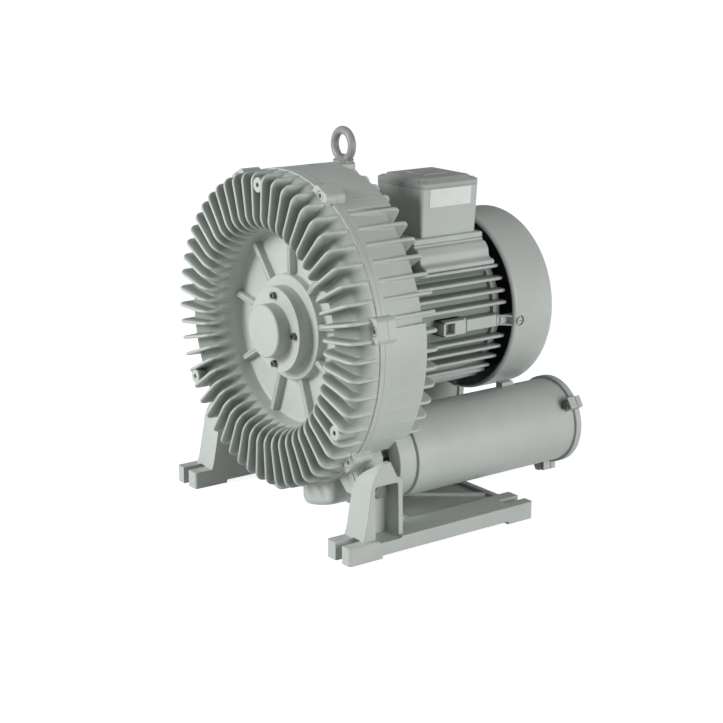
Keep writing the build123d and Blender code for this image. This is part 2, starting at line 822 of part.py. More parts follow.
def stator_windings():
    """Coil bars in the slots and the two end windings."""
    inner = stator_bore + 4.3
    outer = stator_bore + 20.7
    heads = [ring(inner - 1, outer + 4, core_front - winding_overhang, core_front - 0.4),
             ring(inner - 1, outer + 4, core_rear + 0.4, core_rear + winding_overhang)]
    bars = stator_slots(inner, outer, 4.9, core_front - 2, core_rear + 2)
    return heads[0] + heads[1] + bars


def saddle():
    """Smooth shoulder under the terminal box, in the XZ plane around the shaft."""
    top = saddle_top - shaft_height
    face = polygon((-84, 40), (-90, 66), (-62, top - 16), (-44, top), (76, top), (76, top - 10),
                   (72, top - 11.5), (84, top - 13.5), (90.5, top - 22), (92.5, top - 36),
                   (104.5, top - 39), (105.5, top - 45), (92, top - 48), (80, 55))
    body = extrude(Plane.XZ * face, amount=saddle_rear - saddle_front)
    return on_shaft(Pos(0, saddle_rear, 0) * body)


def motor_fins():
    """Level fins on both flanks and hanging fins below."""
    half = motor_fin_thickness / 2
    fins = []
    for step in (-5, -4, -3, -2, 1, 2, 3, 4):
        height = step * motor_fin_pitch
        reach = sqrt(motor_fin_tip ** 2 - height ** 2)
        fins.append(on_shaft(block(-reach, reach, motor_fin_front, motor_fin_rear,
                                   height - half, height + half)))
    for step in (-4, -3, -2, -1, 0, 1, 2, 3, 4):
        place = step * motor_fin_pitch
        reach = sqrt(motor_fin_tip ** 2 - place ** 2)
        fins.append(on_shaft(block(place - half, place + half, motor_fin_front, motor_fin_rear,
                                   -reach, -frame_bore / 2)))
    return fins


def flank_pad():
    """Block and lower panel on the +X flank, with a square pocket, half a pitch below the shaft."""
    reach = motor_fin_tip
    half = flank_half_height
    panel_half = flank_panel_half_height
    pad = block(frame_bore, reach, flank_front, flank_groove + 1, -half, half)
    pad += block(frame_bore, reach - flank_panel_step, flank_groove, frame_rear,
                 -panel_half, panel_half)
    pocket = block(reach - 14, reach + 1, flank_front + 4, flank_front + 21, 3 - half, half - 3)
    groove = block(reach - 6, reach + 1, flank_groove, flank_groove + 3, -half - 1, half + 1)
    return on_shaft(Pos(0, 0, -flank_drop) * (pad - pocket - groove))


def cowl_arm():
    """Arm along +X that reaches under the cowl's rim, with a pocket in front of its screw."""
    tip = arm_reach
    half = cowl_arm_half_width
    root = frame_rear - cowl_arm_thickness
    inner = tip - cowl_arm_depth
    face = polygon((frame_bore + 2, root), (motor_fin_tip, root), (tip, root + 18),
                   (tip, cowl_arm_end), (inner, cowl_arm_end), (inner, frame_rear),
                   (frame_bore + 2, frame_rear))
    arm = extrude(face, amount=half, both=True)
    return arm - block(inner + 2, tip + 1, frame_rear + 1, frame_rear + 14, 2.5 - half, half - 2.5)


def motor_frame():
    """Finned motor housing with its front flange, saddle and cowl arms."""
    tube = ring(frame_bore, frame_bore + frame_wall, motor_front, frame_rear)
    flange = ring(frame_bore, motor_flange_radius, motor_front,
                  motor_front + motor_flange_thickness)
    rounded = ring(0, arm_reach, 0, shaft_rear)
    arms = [at_angle(angle, cowl_arm()) & rounded for angle in cowl_arm_angles]
    body = tube + flange + motor_fins() + saddle() + flank_pad() + mirrored(flank_pad()) + arms
    body -= ring(0, frame_bore, motor_front - 1, frame_rear)
    body -= ring(0, shield_radius + running_gap, frame_rear, cowl_arm_end + 5)
    cuts = [at_angle(angle, rod(5.4, motor_front - 1, motor_front + motor_flange_thickness + 1,
                                motor_bolt_circle)) for angle in motor_bolt_angles]
    cuts += [at_angle(angle, cross_rod(2.6, arm_reach - 15, arm_reach + 1, cowl_screw_place, 0))
             for angle in cowl_arm_angles]
    cuts += [upright_rod(2.65, saddle_top - 14, saddle_top + 1, x, y)
             for x, y in box_screw_places()]
    cuts += [at_angle(angle, rod(2.65, frame_rear - 15, frame_rear + 1, frame_bore + 3.5))
             for angle in shield_screw_angles()]
    cuts.append(upright_rod(14, shaft_height + frame_bore - 5, saddle_top + 1,
                            *box_middle()))
    return body - cuts


def motor_bolts():
    """Screws through the motor's flange into the casing, heads at the motor's side."""
    seat = motor_front + motor_flange_thickness
    screw = hexagon_screw(5.0, 16.0, 6.4, motor_flange_thickness + 18)
    screw = Pos(motor_bolt_circle, seat, 0) * screw
    return [at_angle(angle, screw) for angle in motor_bolt_angles]


def shield_screw_angles():
    return [45.0 + 90.0 * index for index in range(4)]


def rear_end_shield():
    """Rear bearing plate with its hub inside the motor."""
    rear = frame_rear + shield_thickness
    hub = bearing_outer + 9
    back = rear_bearing_start + bearing_width
    face = polygon((bearing_outer, rear_bearing_start - 2), (hub, rear_bearing_start - 2),
                   (hub, frame_rear - 3), (frame_bore - seat_gap, frame_rear - 3),
                   (frame_bore - seat_gap, frame_rear), (shield_radius, frame_rear),
                   (shield_radius, rear), (hub, rear), (hub, rear + 4),
                   (fan_seat_radius + 3, rear + 4),
                   (fan_seat_radius + 3, back + 1.6), (bearing_outer, back + 1.6))
    holes = [at_angle(angle, rod(2.7, frame_rear - 1, rear + 6, frame_bore + 3.5))
             for angle in shield_screw_angles()]
    return turned(face) - holes


def wave_spring():
    """Preload ring between the rear bearing and the end shield."""
    start = rear_bearing_start + bearing_width
    return ring(bearing_pitch + 4, bearing_outer - 0.4, start + 0.1, start + 1.5)


def shield_screws():
    seat = frame_rear + shield_thickness
    screw = Pos(frame_bore + 3.5, seat, 0) * hexagon_screw(2.5, 8.0, 4.0, shield_thickness + 13)
    return [at_angle(angle, screw) for angle in shield_screw_angles()]


def fan_cowl():
    """Deep drawn cowl: rolled rim, sunk screw seats and radial slots in its back."""
    rear = cowl_front + cowl_depth
    inner = cowl_radius - cowl_wall
    corner = cowl_corner
    inner_corner = corner - cowl_wall
    turn = cos(radians(45))
    lip_rear = cowl_front + cowl_lip
    inner_lip = cowl_lip - cowl_wall
    face = outline(
        Line((inner, rear - corner), (inner, lip_rear)),
        ThreePointArc((inner, lip_rear), (cowl_lip_radius + inner_lip * turn, lip_rear - inner_lip * turn),
                      (cowl_lip_radius, cowl_front + cowl_wall)),
        Line((cowl_lip_radius, cowl_front + cowl_wall), (cowl_lip_radius, cowl_front)),
        ThreePointArc((cowl_lip_radius, cowl_front),
                      (cowl_lip_radius + cowl_lip * turn, lip_rear - cowl_lip * turn),
                      (cowl_radius, lip_rear)),
        Line((cowl_radius, lip_rear), (cowl_radius, rear - corner)),
        ThreePointArc((cowl_radius, rear - corner),
                      (cowl_radius - corner + corner * turn, rear - corner + corner * turn),
                      (cowl_radius - corner, rear)),
        Polyline((cowl_radius - corner, rear), (0, rear), (0, rear - cowl_wall),
                 (cowl_radius - corner, rear - cowl_wall)),
        ThreePointArc((cowl_radius - corner, rear - cowl_wall),
                      (cowl_radius - corner + inner_corner * turn,
                       rear - corner + inner_corner * turn),
                      (inner, rear - corner)),
    )
    slot = block(36, cowl_radius - corner - 6, rear - cowl_wall - 1, rear + 1,
                 -cowl_slot_width / 2, cowl_slot_width / 2)
    slots = [at_angle(360.0 / cowl_slot_count * index, slot) for index in range(cowl_slot_count)]
    seat = cowl_screw_seat()
    dimple = cross_rod(cowl_seat_radius + cowl_wall, cowl_lip_radius, inner + 1, cowl_screw_place, 0)
    hollow = cross_rod(cowl_seat_radius, seat, cowl_radius + 1, cowl_screw_place, 0)
    hollow += cross_rod(2.7, cowl_lip_radius - 1, seat + 1, cowl_screw_place, 0)
    cowl = turned(face) + [at_angle(angle, dimple) for angle in cowl_arm_angles]
    return cowl - slots - [at_angle(angle, hollow) for angle in cowl_arm_angles]


def cowl_screw_seat():
    return cowl_lip_radius + cowl_wall


def cowl_screws():
    seat = cowl_screw_seat()
    head = cross_rod(5.0, seat, seat + 3.2, cowl_screw_place, 0)
    shank = cross_rod(2.4, seat - 14, seat + 1, cowl_screw_place, 0)
    screw = head + shank - block(seat + 2, seat + 4, cowl_screw_place - 4,
                                 cowl_screw_place + 4, -0.6, 0.6)
    return [at_angle(angle, screw) for angle in cowl_arm_angles]


# Terminal box

def box_posts():
    """Places of the four corner posts that take the lid's screws."""
    return [(x, y) for x in (box_left + post_inset, box_right - post_inset)
            for y in (box_front + post_inset, box_rear - post_inset)]


def box_screw_places():
    """Places of the four screws that hold the box on its saddle."""
    x, y = box_middle()
    return [(x + side * 36, y + end * 30) for side in (-1, 1) for end in (-1, 1)]


def box_middle():
    return (box_left + box_right) / 2, (box_front + box_rear) / 2


def box_outline(height, inset=0.0):
    """The box's rounded outline at a height, made smaller all round by an inset."""
    x, y = box_middle()
    width = box_right - box_left - 2 * inset
    depth = box_rear - box_front - 2 * inset
    return Pos(x, y, height) * RectangleRounded(width, depth, box_corner - inset)


def terminal_box():
    """Drafted open box with a floor, corner posts and two cable entries on its -X side."""
    down = (0, 0, -1)
    height = box_seam - saddle_top
    body = extrude(box_outline(box_seam), amount=height, dir=down, taper=box_draft)
    body -= extrude(box_outline(box_seam, box_wall), amount=height - box_wall, dir=down,
                    taper=box_draft)
    body += [upright_rod(post_radius, box_seam - post_height, box_seam, x, y)
             for x, y in box_posts()]
    body += [cross_rod(entry_radius + 5, box_left, box_left + box_wall + 1, y, entry_height)
             for y in entry_places()]
    cuts = [upright_rod(2.65, box_seam - 32, box_seam + 1, x, y) for x, y in box_posts()]
    cuts += [upright_rod(2.8, saddle_top - 1, saddle_top + box_wall + 1, x, y)
             for x, y in box_screw_places()]
    cuts.append(upright_rod(13, saddle_top - 1, saddle_top + box_wall + 1, *box_middle()))
    cuts += [cross_rod(entry_radius, box_left - 1, box_left + box_wall + 4, y, entry_height)
             for y in entry_places()]
    return body - cuts


def box_screws():
    """Pan head screws through the box's floor into the saddle."""
    floor = saddle_top + box_wall
    return [upright_rod(4.5, floor, floor + 3, x, y) + upright_rod(2.5, floor - 16, floor + 1, x, y)
            for x, y in box_screw_places()]


def entry_places():
    middle = box_middle()[1]
    return (middle - entry_spacing / 2, middle + entry_spacing / 2)


def terminal_box_gasket():
    outer = extrude(box_outline(box_seam), amount=gasket_thickness)
    inner = block(box_left + box_wall + 8, box_right - box_wall - 8, box_front + box_wall + 8,
                  box_rear - box_wall - 8, box_seam - 1, box_seam + gasket_thickness + 1)
    holes = [upright_rod(2.8, box_seam - 1, box_seam + gasket_thickness + 1, x, y)
             for x, y in box_posts()]
    return outer - inner - holes


def terminal_box_lid():
    """Lid with a wide bevel, a raised plain panel and seats for its screws."""
    bottom = box_seam + gasket_thickness
    shoulder = bottom + lid_edge
    rise = box_top - shoulder
    x, y = box_middle()
    hip = extrude(Pos(x, y, shoulder) * Rectangle(box_right - box_left, box_rear - box_front),
                  amount=rise, taper=degrees(atan(lid_bevel / rise)))
    hip += block(box_left, box_right, box_front, box_rear, bottom, shoulder)
    lid = extrude(box_outline(bottom), amount=box_top - bottom) & hip
    lid += block(x - 24, x + 20, y - 22, y + 22, box_top - 1, box_top + lid_panel_height)
    lid -= block(box_left + lid_rim, box_right - lid_rim, box_front + lid_rim, box_rear - lid_rim,
                 bottom - 1, bottom + lid_hollow)
    cuts = []
    for post_x, post_y in box_posts():
        cuts.append(upright_rod(2.8, bottom - 1, box_top + 1, post_x, post_y))
        cuts.append(upright_rod(5.2, lid_screw_seat, box_top + 1, post_x, post_y))
    return lid - cuts


def lid_screws():
    """Recessed slotted screws through the lid into the corner posts."""
    screws = []
    for x, y in box_posts():
        screw = upright_rod(4.6, lid_screw_seat, lid_screw_seat + 3, x, y)
        screw += upright_rod(2.5, box_seam - 28, lid_screw_seat + 1, x, y)
        screw -= block(x - 3.4, x + 3.4, y - 0.6, y + 0.6, lid_screw_seat + 1.8, box_top)
        screws.append(screw)
    return screws


def terminal_block():
    """Moulded board with barriers between its six studs."""
    x, y = box_middle()
    base = saddle_top + box_wall
    board = block(x - 24, x + 24, y - 30, y + 30, base, base + 12)
    for step in (-1, 0, 1, 2):
        place = y + step * 18 - 9
        board += block(x - 24, x + 24, place - 1.5, place + 1.5, base + 11, base + 22)
    return board - [upright_rod(2.6, base + 3, base + 13, sx, sy) for sx, sy in stud_places()]


def stud_places():
    x, y = box_middle()
    return [(x + side * 12, y + step * 18) for side in (-1, 1) for step in (-1, 0, 1)]


def terminal_studs():
    """Threaded studs, each with its nut."""
    base = saddle_top + box_wall
    studs = []
    for x, y in stud_places():
        nut = extrude(RegularPolygon(4, 6, major_radius=False), amount=4)
        studs.append(upright_rod(2.5, base + 3, base + 26, x, y)
                     + Pos(x, y, base + 12) * nut)
    return studs


def nameplate():
    """Blank plate on the +X side of the box."""
    half = nameplate_length / 2
    plate = block(0, nameplate_thickness, -half, half, -1 - nameplate_height, -1)
    return Pos(box_right, box_middle()[1], box_seam) * Rot(0, box_draft, 0) * plate


def cable_plugs():
    """Screwed plugs that close the two cable entries."""
    plugs = []
    for y in entry_places():
        shank = cross_rod(entry_radius - seat_gap, box_left - 1, box_left + box_wall + 4, y,
                          entry_height)
        head = Pos(box_left - 7, y, entry_height) * Rot(0, 90, 0) * extrude(
            RegularPolygon(15, 6, major_radius=False), amount=7)
        plugs.append(shank + head)
    return plugs


# Silencers, made on the +X side

def silencer_place(angle, shape):
    """Turns a shape that points up around the +X silencer's axis."""
    return Pos(silencer_offset, 0, silencer_height) * Rot(0, angle, 0) * shape


def silencer_ring(inner, outer, front, rear):
    body = rod(outer, front, rear, silencer_offset, silencer_height)
    return body - rod(inner, front - 1, rear + 1, silencer_offset, silencer_height)


def end_lug(front, rear):
    return block(-9, 9, front, rear, silencer_radius - 6, end_lug_reach)


def silencer_body():
    """Cast tube with a front wall, rear lugs and a small boss on top."""
    flange_rear = silencer_front + 11
    tube = silencer_ring(silencer_radius - silencer_wall, silencer_radius, silencer_front,
                         silencer_cover_front)
    flange = silencer_ring(duct_radius, silencer_radius, silencer_front, flange_rear)
    inner_wall = silencer_radius - silencer_wall
    boss = block(-22, -8, 350, 372, silencer_radius - 8, silencer_radius + 5)
    parts = [silencer_place(0, boss)]
    for angle in end_lug_angles:
        parts.append(silencer_place(angle, end_lug(silencer_cover_front - end_lug_depth,
                                                   silencer_cover_front)))
    body = tube + flange + parts
    body -= rod(inner_wall, flange_rear, silencer_cover_front + 1, silencer_offset,
                silencer_height)
    holes = [silencer_place(angle, rod(4.4, silencer_cover_front - end_lug_depth - 1,
                                       silencer_cover_front + 1, 0, end_lug_circle))
             for angle in end_lug_angles]
    holes += [silencer_place(angle, rod(4.4, silencer_front - 1, flange_rear + 1, 0,
                                        port_screw_circle)) for angle in port_screw_angles]
    return body - holes


def silencer_bolt_holes():
    """Tapped holes in the casing's two port flanges."""
    holes = [silencer_place(angle, rod(4.15, port_flange_rear - 16, port_flange_rear + 1, 0,
                                       port_screw_circle)) for angle in port_screw_angles]
    return holes + [mirrored(hole) for hole in holes]


def silencer_cover():
    """End flange with the tapped air port."""
    rear = silencer_rear
    plate = rod(silencer_flange_radius, silencer_cover_front + 1, rear, silencer_offset,
                silencer_height)
    inner = rod(port_minor_radius + 8, rear - port_thread_length, rear, silencer_offset,
                silencer_height)
    collar = rod(port_minor_radius + 14, rear - 3, rear, silencer_offset, silencer_height)
    seat = rear - end_lug_step
    lugs = [silencer_place(angle, end_lug(silencer_cover_front + 1, seat))
            for angle in end_lug_angles]
    rim_edge = silencer_ring(port_minor_radius + 14, silencer_flange_radius + 1, rear - 3,
                             rear + 1)
    cover = plate - rim_edge + inner + collar + lugs
    holes = [silencer_place(angle, rod(4.15, silencer_cover_front, rear, 0, end_lug_circle))
             for angle in end_lug_angles]
    bore = rod(port_minor_radius, rear - port_thread_length - 1, rear + 1, silencer_offset,
               silencer_height)
    return cover - holes - bore


def silencer_end_gasket():
    ring_inner = silencer_radius - silencer_wall
    return silencer_ring(ring_inner, silencer_radius - 0.2, silencer_cover_front,
                         silencer_cover_front + 1)


def silencer_port_gasket():
    gasket = silencer_ring(duct_radius + 1, port_neck_radius - 1, port_flange_rear,
                           silencer_front)
    return gasket - [silencer_place(angle, rod(4.6, port_flange_rear - 1, silencer_front + 1, 0,
                                               port_screw_circle))
                     for angle in port_screw_angles]


def silencer_screen():
    """Perforated tube that carries the air through the silencer."""
    front = silencer_front + 11
    rear = silencer_rear - port_thread_length
    tube = silencer_ring(screen_radius - screen_wall, screen_radius, front, rear)
    rows = 10
    spacing = (rear - front) / rows
    holes = []
    for row in range(rows):
        for angle in (0, 45, 90, 135):
            hole = upright_rod(4, -screen_radius - 2, screen_radius + 2, 0,
                               front + spacing * (row + 0.5))
            holes.append(silencer_place(angle + 22.5 * (row % 2), hole))
    return tube - holes


def silencer_foam():
    """Absorbing sleeve around the perforated tube."""
    return silencer_ring(screen_radius + 0.2, silencer_radius - silencer_wall - 0.2,
                         silencer_front + 18, silencer_rear - port_thread_length - 6)


def silencer_end_screws():
    """Screws from the body's lugs, heads in front, into the tapped lugs of the end flange."""
    screw = hexagon_screw(4.0, 13.0, end_screw_head, 22)
    seat = Pos(0, silencer_cover_front - end_lug_depth, end_lug_circle) * Rot(0, 0, 180)
    return [silencer_place(angle, seat * screw) for angle in end_lug_angles]


def silencer_port_screws():
    """Screws inside each silencer that hold it to the casing's port flange."""
    screw = hexagon_screw(4.0, 13.0, 5.3, 26)
    seat = Pos(0, silencer_front + 11, port_screw_circle)
    return [silencer_place(angle, seat * screw) for angle in port_screw_angles]


# Base

def upright():
    """Hollow bracket on the +X rail that holds the casing's foot lug."""
    crown = upright_top
    front_view = outline(
        Polyline((inner_rail, 0), (inner_rail, 84)),
        ThreePointArc((inner_rail, 84), (inner_rail + 8, 108), (inner_rail + 26, 124)),
        Polyline((inner_rail + 26, 124), (inner_rail + 34, crown), (upright_outer - 3, crown),
                 (upright_outer, 0), (inner_rail, 0)),
    )
    side_view = outline(
        Polyline((upright_front - 8, 0), (upright_front - 4, base_height),
                 (upright_front, base_height + 12), (upright_front + 10, 92)),
        ThreePointArc((upright_front + 10, 92), (upright_front + 19, 118),
                      (upright_front + 36, crown)),
        Polyline((upright_front + 36, crown), (upright_rear - 20, crown), (upright_rear - 9, 110),
                 (upright_rear, 107), (upright_rear, 0), (upright_front - 8, 0)),
    )
    across = Pos(0, upright_rear + 20, 0) * extrude(Plane.XZ * front_view, amount=150)
    along = extrude(Plane.YZ * side_view, amount=base_width / 2)
    pocket = block(pocket_floor, base_width, pocket_front, pocket_rear, base_height - 3,
                   pocket_top)
    pocket = fillet(pocket.edges().filter_by(Axis.X), 4)
    hole = cross_rod(6.6, inner_rail - 1, pocket_floor + 1, foot_bolt_place, foot_bolt_height)
    return (across & along), pocket, hole


def foot_slot(rear):
    """Open slot in the end of the +X foot."""
    x = foot_slot_spacing / 2
    half = foot_slot_width / 2
    edge = base_rear if rear else base_front
    inward = -foot_slot_depth if rear else foot_slot_depth
    end = edge + inward
    low, high = sorted((edge - inward, end))
    return block(x - half, x + half, low, high, -1, base_height + 1) + upright_rod(
        half, -1, base_height + 1, x, end)


def base_rail():
    """Side rail with its two foot pads, upright and open end slots."""
    outer = base_width / 2
    rail = block(inner_rail, outer, base_front, base_rear, 0, base_height)
    rail = fillet(rail.edges().filter_by(Axis.Z), 4)
    rail -= block(inner_rail - 1, outer + 1, base_front + pad_length, base_rear - pad_length + 10,
                  -1, pad_height)
    shape, pocket, hole = upright()
    rail = rail + (shape - block(0, base_width, -50, 400, -1, base_height - 8))
    return rail - pocket - hole - foot_slot(False) - foot_slot(True)


def base_frame():
    """Cast base: two rails joined by a ribbed tray, open in front."""
    rear = base_rear - tray_rear_inset
    tray = block(-inner_rail - 2, inner_rail + 2, tray_front, rear, tray_bottom, tray_top)
    rear_rib = block(-inner_rail - 2, inner_rail + 2, rear - 10, rear, tray_bottom, base_height)
    front_rib = block(-inner_rail - 2, inner_rail + 2, tray_front, tray_front + 10, tray_bottom,
                      base_height)
    dish = Pos(0, (tray_front + rear) / 2, tray_top) * Cylinder(62, 8)
    rim = Pos(0, (tray_front + rear) / 2, (tray_top + base_height) / 2 - 1)
    dish_wall = rim * (Cylinder(70, base_height - tray_top + 1) - Cylinder(62, 20))
    rail = base_rail()
    body = rail + mirrored(rail) + tray + rear_rib + front_rib + dish_wall
    for side in (-1, 1):
        diagonal = Pos(side * 122, rear - 56, (tray_top + base_height) / 2 - 1) * Rot(
            0, 0, side * -38) * Box(8, 116, base_height - tray_top + 1)
        body += diagonal
    body -= dish
    return body


def foot_bolts():
    """Screws and washers from the pockets of the uprights into the casing's foot lugs."""
    seat = pocket_floor + 2.5
    place = Pos(0, foot_bolt_place, foot_bolt_height)
    across = Rot(0, 0, -90)
    screw = place * Pos(seat, 0, 0) * across * hexagon_screw(6.0, 19.0, 8.0, 42)
    washer = cross_rod(12, pocket_floor, seat, foot_bolt_place, foot_bolt_height) - cross_rod(
        6.5, pocket_floor - 1, seat + 1, foot_bolt_place, foot_bolt_height)
    return [screw, mirrored(screw)], [washer, mirrored(washer)]


# Lifting eye

def eye_bolt():
    """Ring bolt with its collar, ring in the plane across the shaft."""
    shank = upright_rod(6.0, eye_seat - 21, eye_seat + 1, 0, eye_place)
    collar = upright_rod(eye_collar_radius, eye_seat, eye_seat + 5, 0, eye_place)
    neck = Pos(0, eye_place, eye_seat + 5) * Cone(eye_collar_radius - 2, eye_wire_radius, 8,
                                                 align=(Align.CENTER, Align.CENTER, Align.MIN))
    ring_height = eye_seat + eye_height - eye_wire_radius - eye_ring_radius
    loop = Pos(0, eye_place, ring_height) * Torus(eye_ring_radius, eye_wire_radius,
                                                 rotation=(90, 0, 0))
    opening = Pos(0, eye_place, ring_height) * Cylinder(
        eye_ring_radius - eye_wire_radius, 40, rotation=(90, 0, 0))
    return shank + (collar + neck - opening) + loop


# Export

def save(name, shapes):
    """Writes one node, moved so that the middle of the machine's outline is at the origin."""
    solids = shapes if isinstance(shapes, list) else [shapes]
    solids = [solid for shape in solids for solid in shape.solids()]
    place = Pos(0, -machine_centre, 0)
    moved = [place * solid for solid in solids]
    for solid in moved:
        solid.label = name
    export_step(moved[0] if len(moved) == 1 else Compound(children=moved, label=name),
                f"parts/{name}.step")


def save_bearing(name, start):
    inner, outer, balls, cage = bearing_rings(start)
    save(f"{name}_bearing_inner_ring", inner)
    save(f"{name}_bearing_outer_ring", outer)
    save(f"{name}_bearing_balls", balls)
    save(f"{name}_bearing_cage", cage)


def save_silencers():
    """Writes both silencers, the -X one as the mirror image of the +X one."""
    pieces = {"body": silencer_body(), "cover": silencer_cover(), "screen": silencer_screen(),
              "foam": silencer_foam()}
    for part_name, shape in pieces.items():
        save(f"silencer_{part_name}_right", shape)
        save(f"silencer_{part_name}_left", mirrored(shape))
    gaskets = [silencer_end_gasket(), silencer_port_gasket()]
    save("silencer_gaskets", gaskets + [mirrored(gasket) for gasket in gaskets])
    for part_name, screws in (("end", silencer_end_screws()), ("port", silencer_port_screws())):
        save(f"silencer_{part_name}_screws", screws + [mirrored(screw) for screw in screws])


def main():
    os.makedirs("parts", exist_ok=True)
    save("casing_cover", casing_cover())
    save("rear_casing", rear_casing())
    save("cover_seal", cover_seal())
    save("cover_bolts", cover_bolts())
    save("bearing_cap", bearing_cap())
    save("bearing_cap_screws", bearing_cap_screws())
    save("front_shaft_seal", shaft_seal(spacer_radius, cover_web - 2, seal_radius - 1.5))
    save("rear_shaft_seal", shaft_seal(seal_shaft_radius, rear_seal_front()))
    save_bearing("front", front_bearing_start)
    save_bearing("rear", rear_bearing_start)
    save("motor_shaft", motor_shaft())
    save("impeller", impeller())
    save("impeller_key", impeller_key())
    save("impeller_locknut", impeller_locknut())
    save("impeller_spacer", impeller_spacer())
    save("rotor_core", rotor_core())
    save("rotor_cage", rotor_cage())
    save("cooling_fan", cooling_fan())
    save("fan_circlip", fan_circlip())
    save("motor_frame", motor_frame())
    save("motor_bolts", motor_bolts())
    save("stator_core", stator_core())
    save("stator_windings", stator_windings())
    save("rear_end_shield", rear_end_shield())
    save("end_shield_screws", shield_screws())
    save("bearing_wave_spring", wave_spring())
    save("fan_cowl", fan_cowl())
    save("cowl_screws", cowl_screws())
    save("terminal_box", terminal_box())
    save("terminal_box_gasket", terminal_box_gasket())
    save("terminal_box_lid", terminal_box_lid())
    save("lid_screws", lid_screws())
    save("box_screws", box_screws())
    save("terminal_block", terminal_block())
    save("terminal_studs", terminal_studs())
    save("nameplate", nameplate())
    save("cable_plugs", cable_plugs())
    save_silencers()
    save("base_frame", base_frame())
    bolts, washers = foot_bolts()
    save("foot_bolts", bolts)
    save("foot_washers", washers)
    save("eye_bolt", eye_bolt())


main()
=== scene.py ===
import json
from math import radians

import bmesh
import bpy
import numpy as np
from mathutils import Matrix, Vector


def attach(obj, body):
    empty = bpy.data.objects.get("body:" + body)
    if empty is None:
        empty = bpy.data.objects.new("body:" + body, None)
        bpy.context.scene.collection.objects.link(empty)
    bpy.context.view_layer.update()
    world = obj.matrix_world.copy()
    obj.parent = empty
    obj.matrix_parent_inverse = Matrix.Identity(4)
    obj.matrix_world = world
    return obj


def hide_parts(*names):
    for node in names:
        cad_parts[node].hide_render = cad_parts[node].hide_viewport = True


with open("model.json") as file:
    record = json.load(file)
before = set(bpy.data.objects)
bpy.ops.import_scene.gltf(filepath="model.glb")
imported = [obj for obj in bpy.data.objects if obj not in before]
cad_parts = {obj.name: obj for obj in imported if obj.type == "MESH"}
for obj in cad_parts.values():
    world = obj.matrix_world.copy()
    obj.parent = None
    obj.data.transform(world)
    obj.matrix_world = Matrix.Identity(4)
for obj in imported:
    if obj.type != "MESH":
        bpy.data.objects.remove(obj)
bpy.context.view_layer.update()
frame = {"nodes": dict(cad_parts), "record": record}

# Side channel blower. Lengths are millimetres from the front of the cover's fins and from the floor,
# as on the drawing of the machine; metres() turns them into the frame's metres.
MIDDLE = 221.0
SHAFT = (0.0, 285.0)
RIGHT_SILENCER = (139.0, 112.5)
FIN_COUNT = 54
RIM_ANGLES = np.array((-20, -12, -4, 4, 12, 20)) * 360.0 / FIN_COUNT
FIN_ANGLES = (np.arange(FIN_COUNT) + 0.5) * 360.0 / FIN_COUNT
# The rim's flange is cut by the seam between cover and casing
RIM = 231.0
SEAM = 53.0
BOSS_ANGLES = np.array((0.0, 120.0, -120.0))


# Camera

def place_camera():
    """The photograph's view: from the front right, a little above the middle of the machine."""
    place = Vector((1.99176, -1.50456, 0.86508))
    target = Vector((-0.16484, 0.08397, 0.15910))
    data = bpy.data.cameras.new("camera")
    data.lens = 84.7
    data.sensor_width = 36.0
    camera = bpy.data.objects.new("camera", data)
    camera.location = place
    camera.rotation_euler = (target - place).to_track_quat("-Z", "Y").to_euler()
    bpy.context.scene.collection.objects.link(camera)
    bpy.context.scene.camera = camera


place_camera()


# Outlines in a plane

def arc_through(a, b, c, steps):
    """Points at even angles on the circle through three points, from a over b to c."""
    a, b, c = (np.array(p, float) for p in (a, b, c))
    matrix = 2 * np.array((b - a, c - a))
    centre = np.linalg.solve(matrix, np.array((b @ b - a @ a, c @ c - a @ a)))
    angles = [np.arctan2(*(p - centre)[::-1]) for p in (a, b, c)]
    first, middle, last = np.unwrap(angles)
    around = np.linspace(first, last, steps)
    radius = np.linalg.norm(a - centre)
    return centre + radius * np.stack((np.cos(around), np.sin(around)), -1)


def rounded(corners):
    """Closed outline from corners (a, b, radius). Each corner becomes the arc of that radius that
    touches both of its runs, with one point for about every twelve degrees of its turn."""
    places = np.array([corner[:2] for corner in corners], float)
    runs = []
    for index, corner in enumerate(corners):
        radius = corner[2] if len(corner) > 2 else 0.0
        here = places[index]
        if radius <= 0:
            runs.append(here[None])
            continue
        back = places[index - 1] - here
        ahead = places[(index + 1) % len(places)] - here
        back /= np.linalg.norm(back)
        ahead /= np.linalg.norm(ahead)
        half = np.arccos(np.clip(back @ ahead, -1, 1)) / 2
        middle = back + ahead
        centre = here + middle / np.linalg.norm(middle) * radius / np.sin(half)
        reach = radius / np.tan(half)
        spokes = here + back * reach - centre, here + ahead * reach - centre
        turn = np.pi - 2 * half
        share = np.linspace(0, 1, max(3, int(np.degrees(turn) / 12) + 1))[:, None]
        blend = np.sin((1 - share) * turn) * spokes[0] + np.sin(share * turn) * spokes[1]
        runs.append(centre + blend / np.sin(turn))
    return np.concatenate(runs)


def box_outline(a0, a1, b0, b1, radius):
    """Closed rectangle with four equal rounded corners."""
    return rounded([(a0, b0, radius), (a1, b0, radius), (a1, b1, radius), (a0, b1, radius)])


def inset(outline, amount):
    """The outline moved inwards by an amount, each point along the mitre of its two runs."""
    ahead = np.roll(outline, -1, 0) - outline
    normal = np.stack((ahead[:, 1], -ahead[:, 0]), -1) / np.linalg.norm(ahead, axis=1)[:, None]
    before = np.roll(normal, 1, 0)
    mitre = (normal + before) / (1 + (normal * before).sum(1))[:, None]
    area = (outline[:, 0] * np.roll(outline[:, 1], -1) - np.roll(outline[:, 0], -1) * outline[:, 1]).sum()
    return outline - np.sign(area) * amount * mitre


# Surfaces: each function gives grids of points, and quilt() makes faces of them

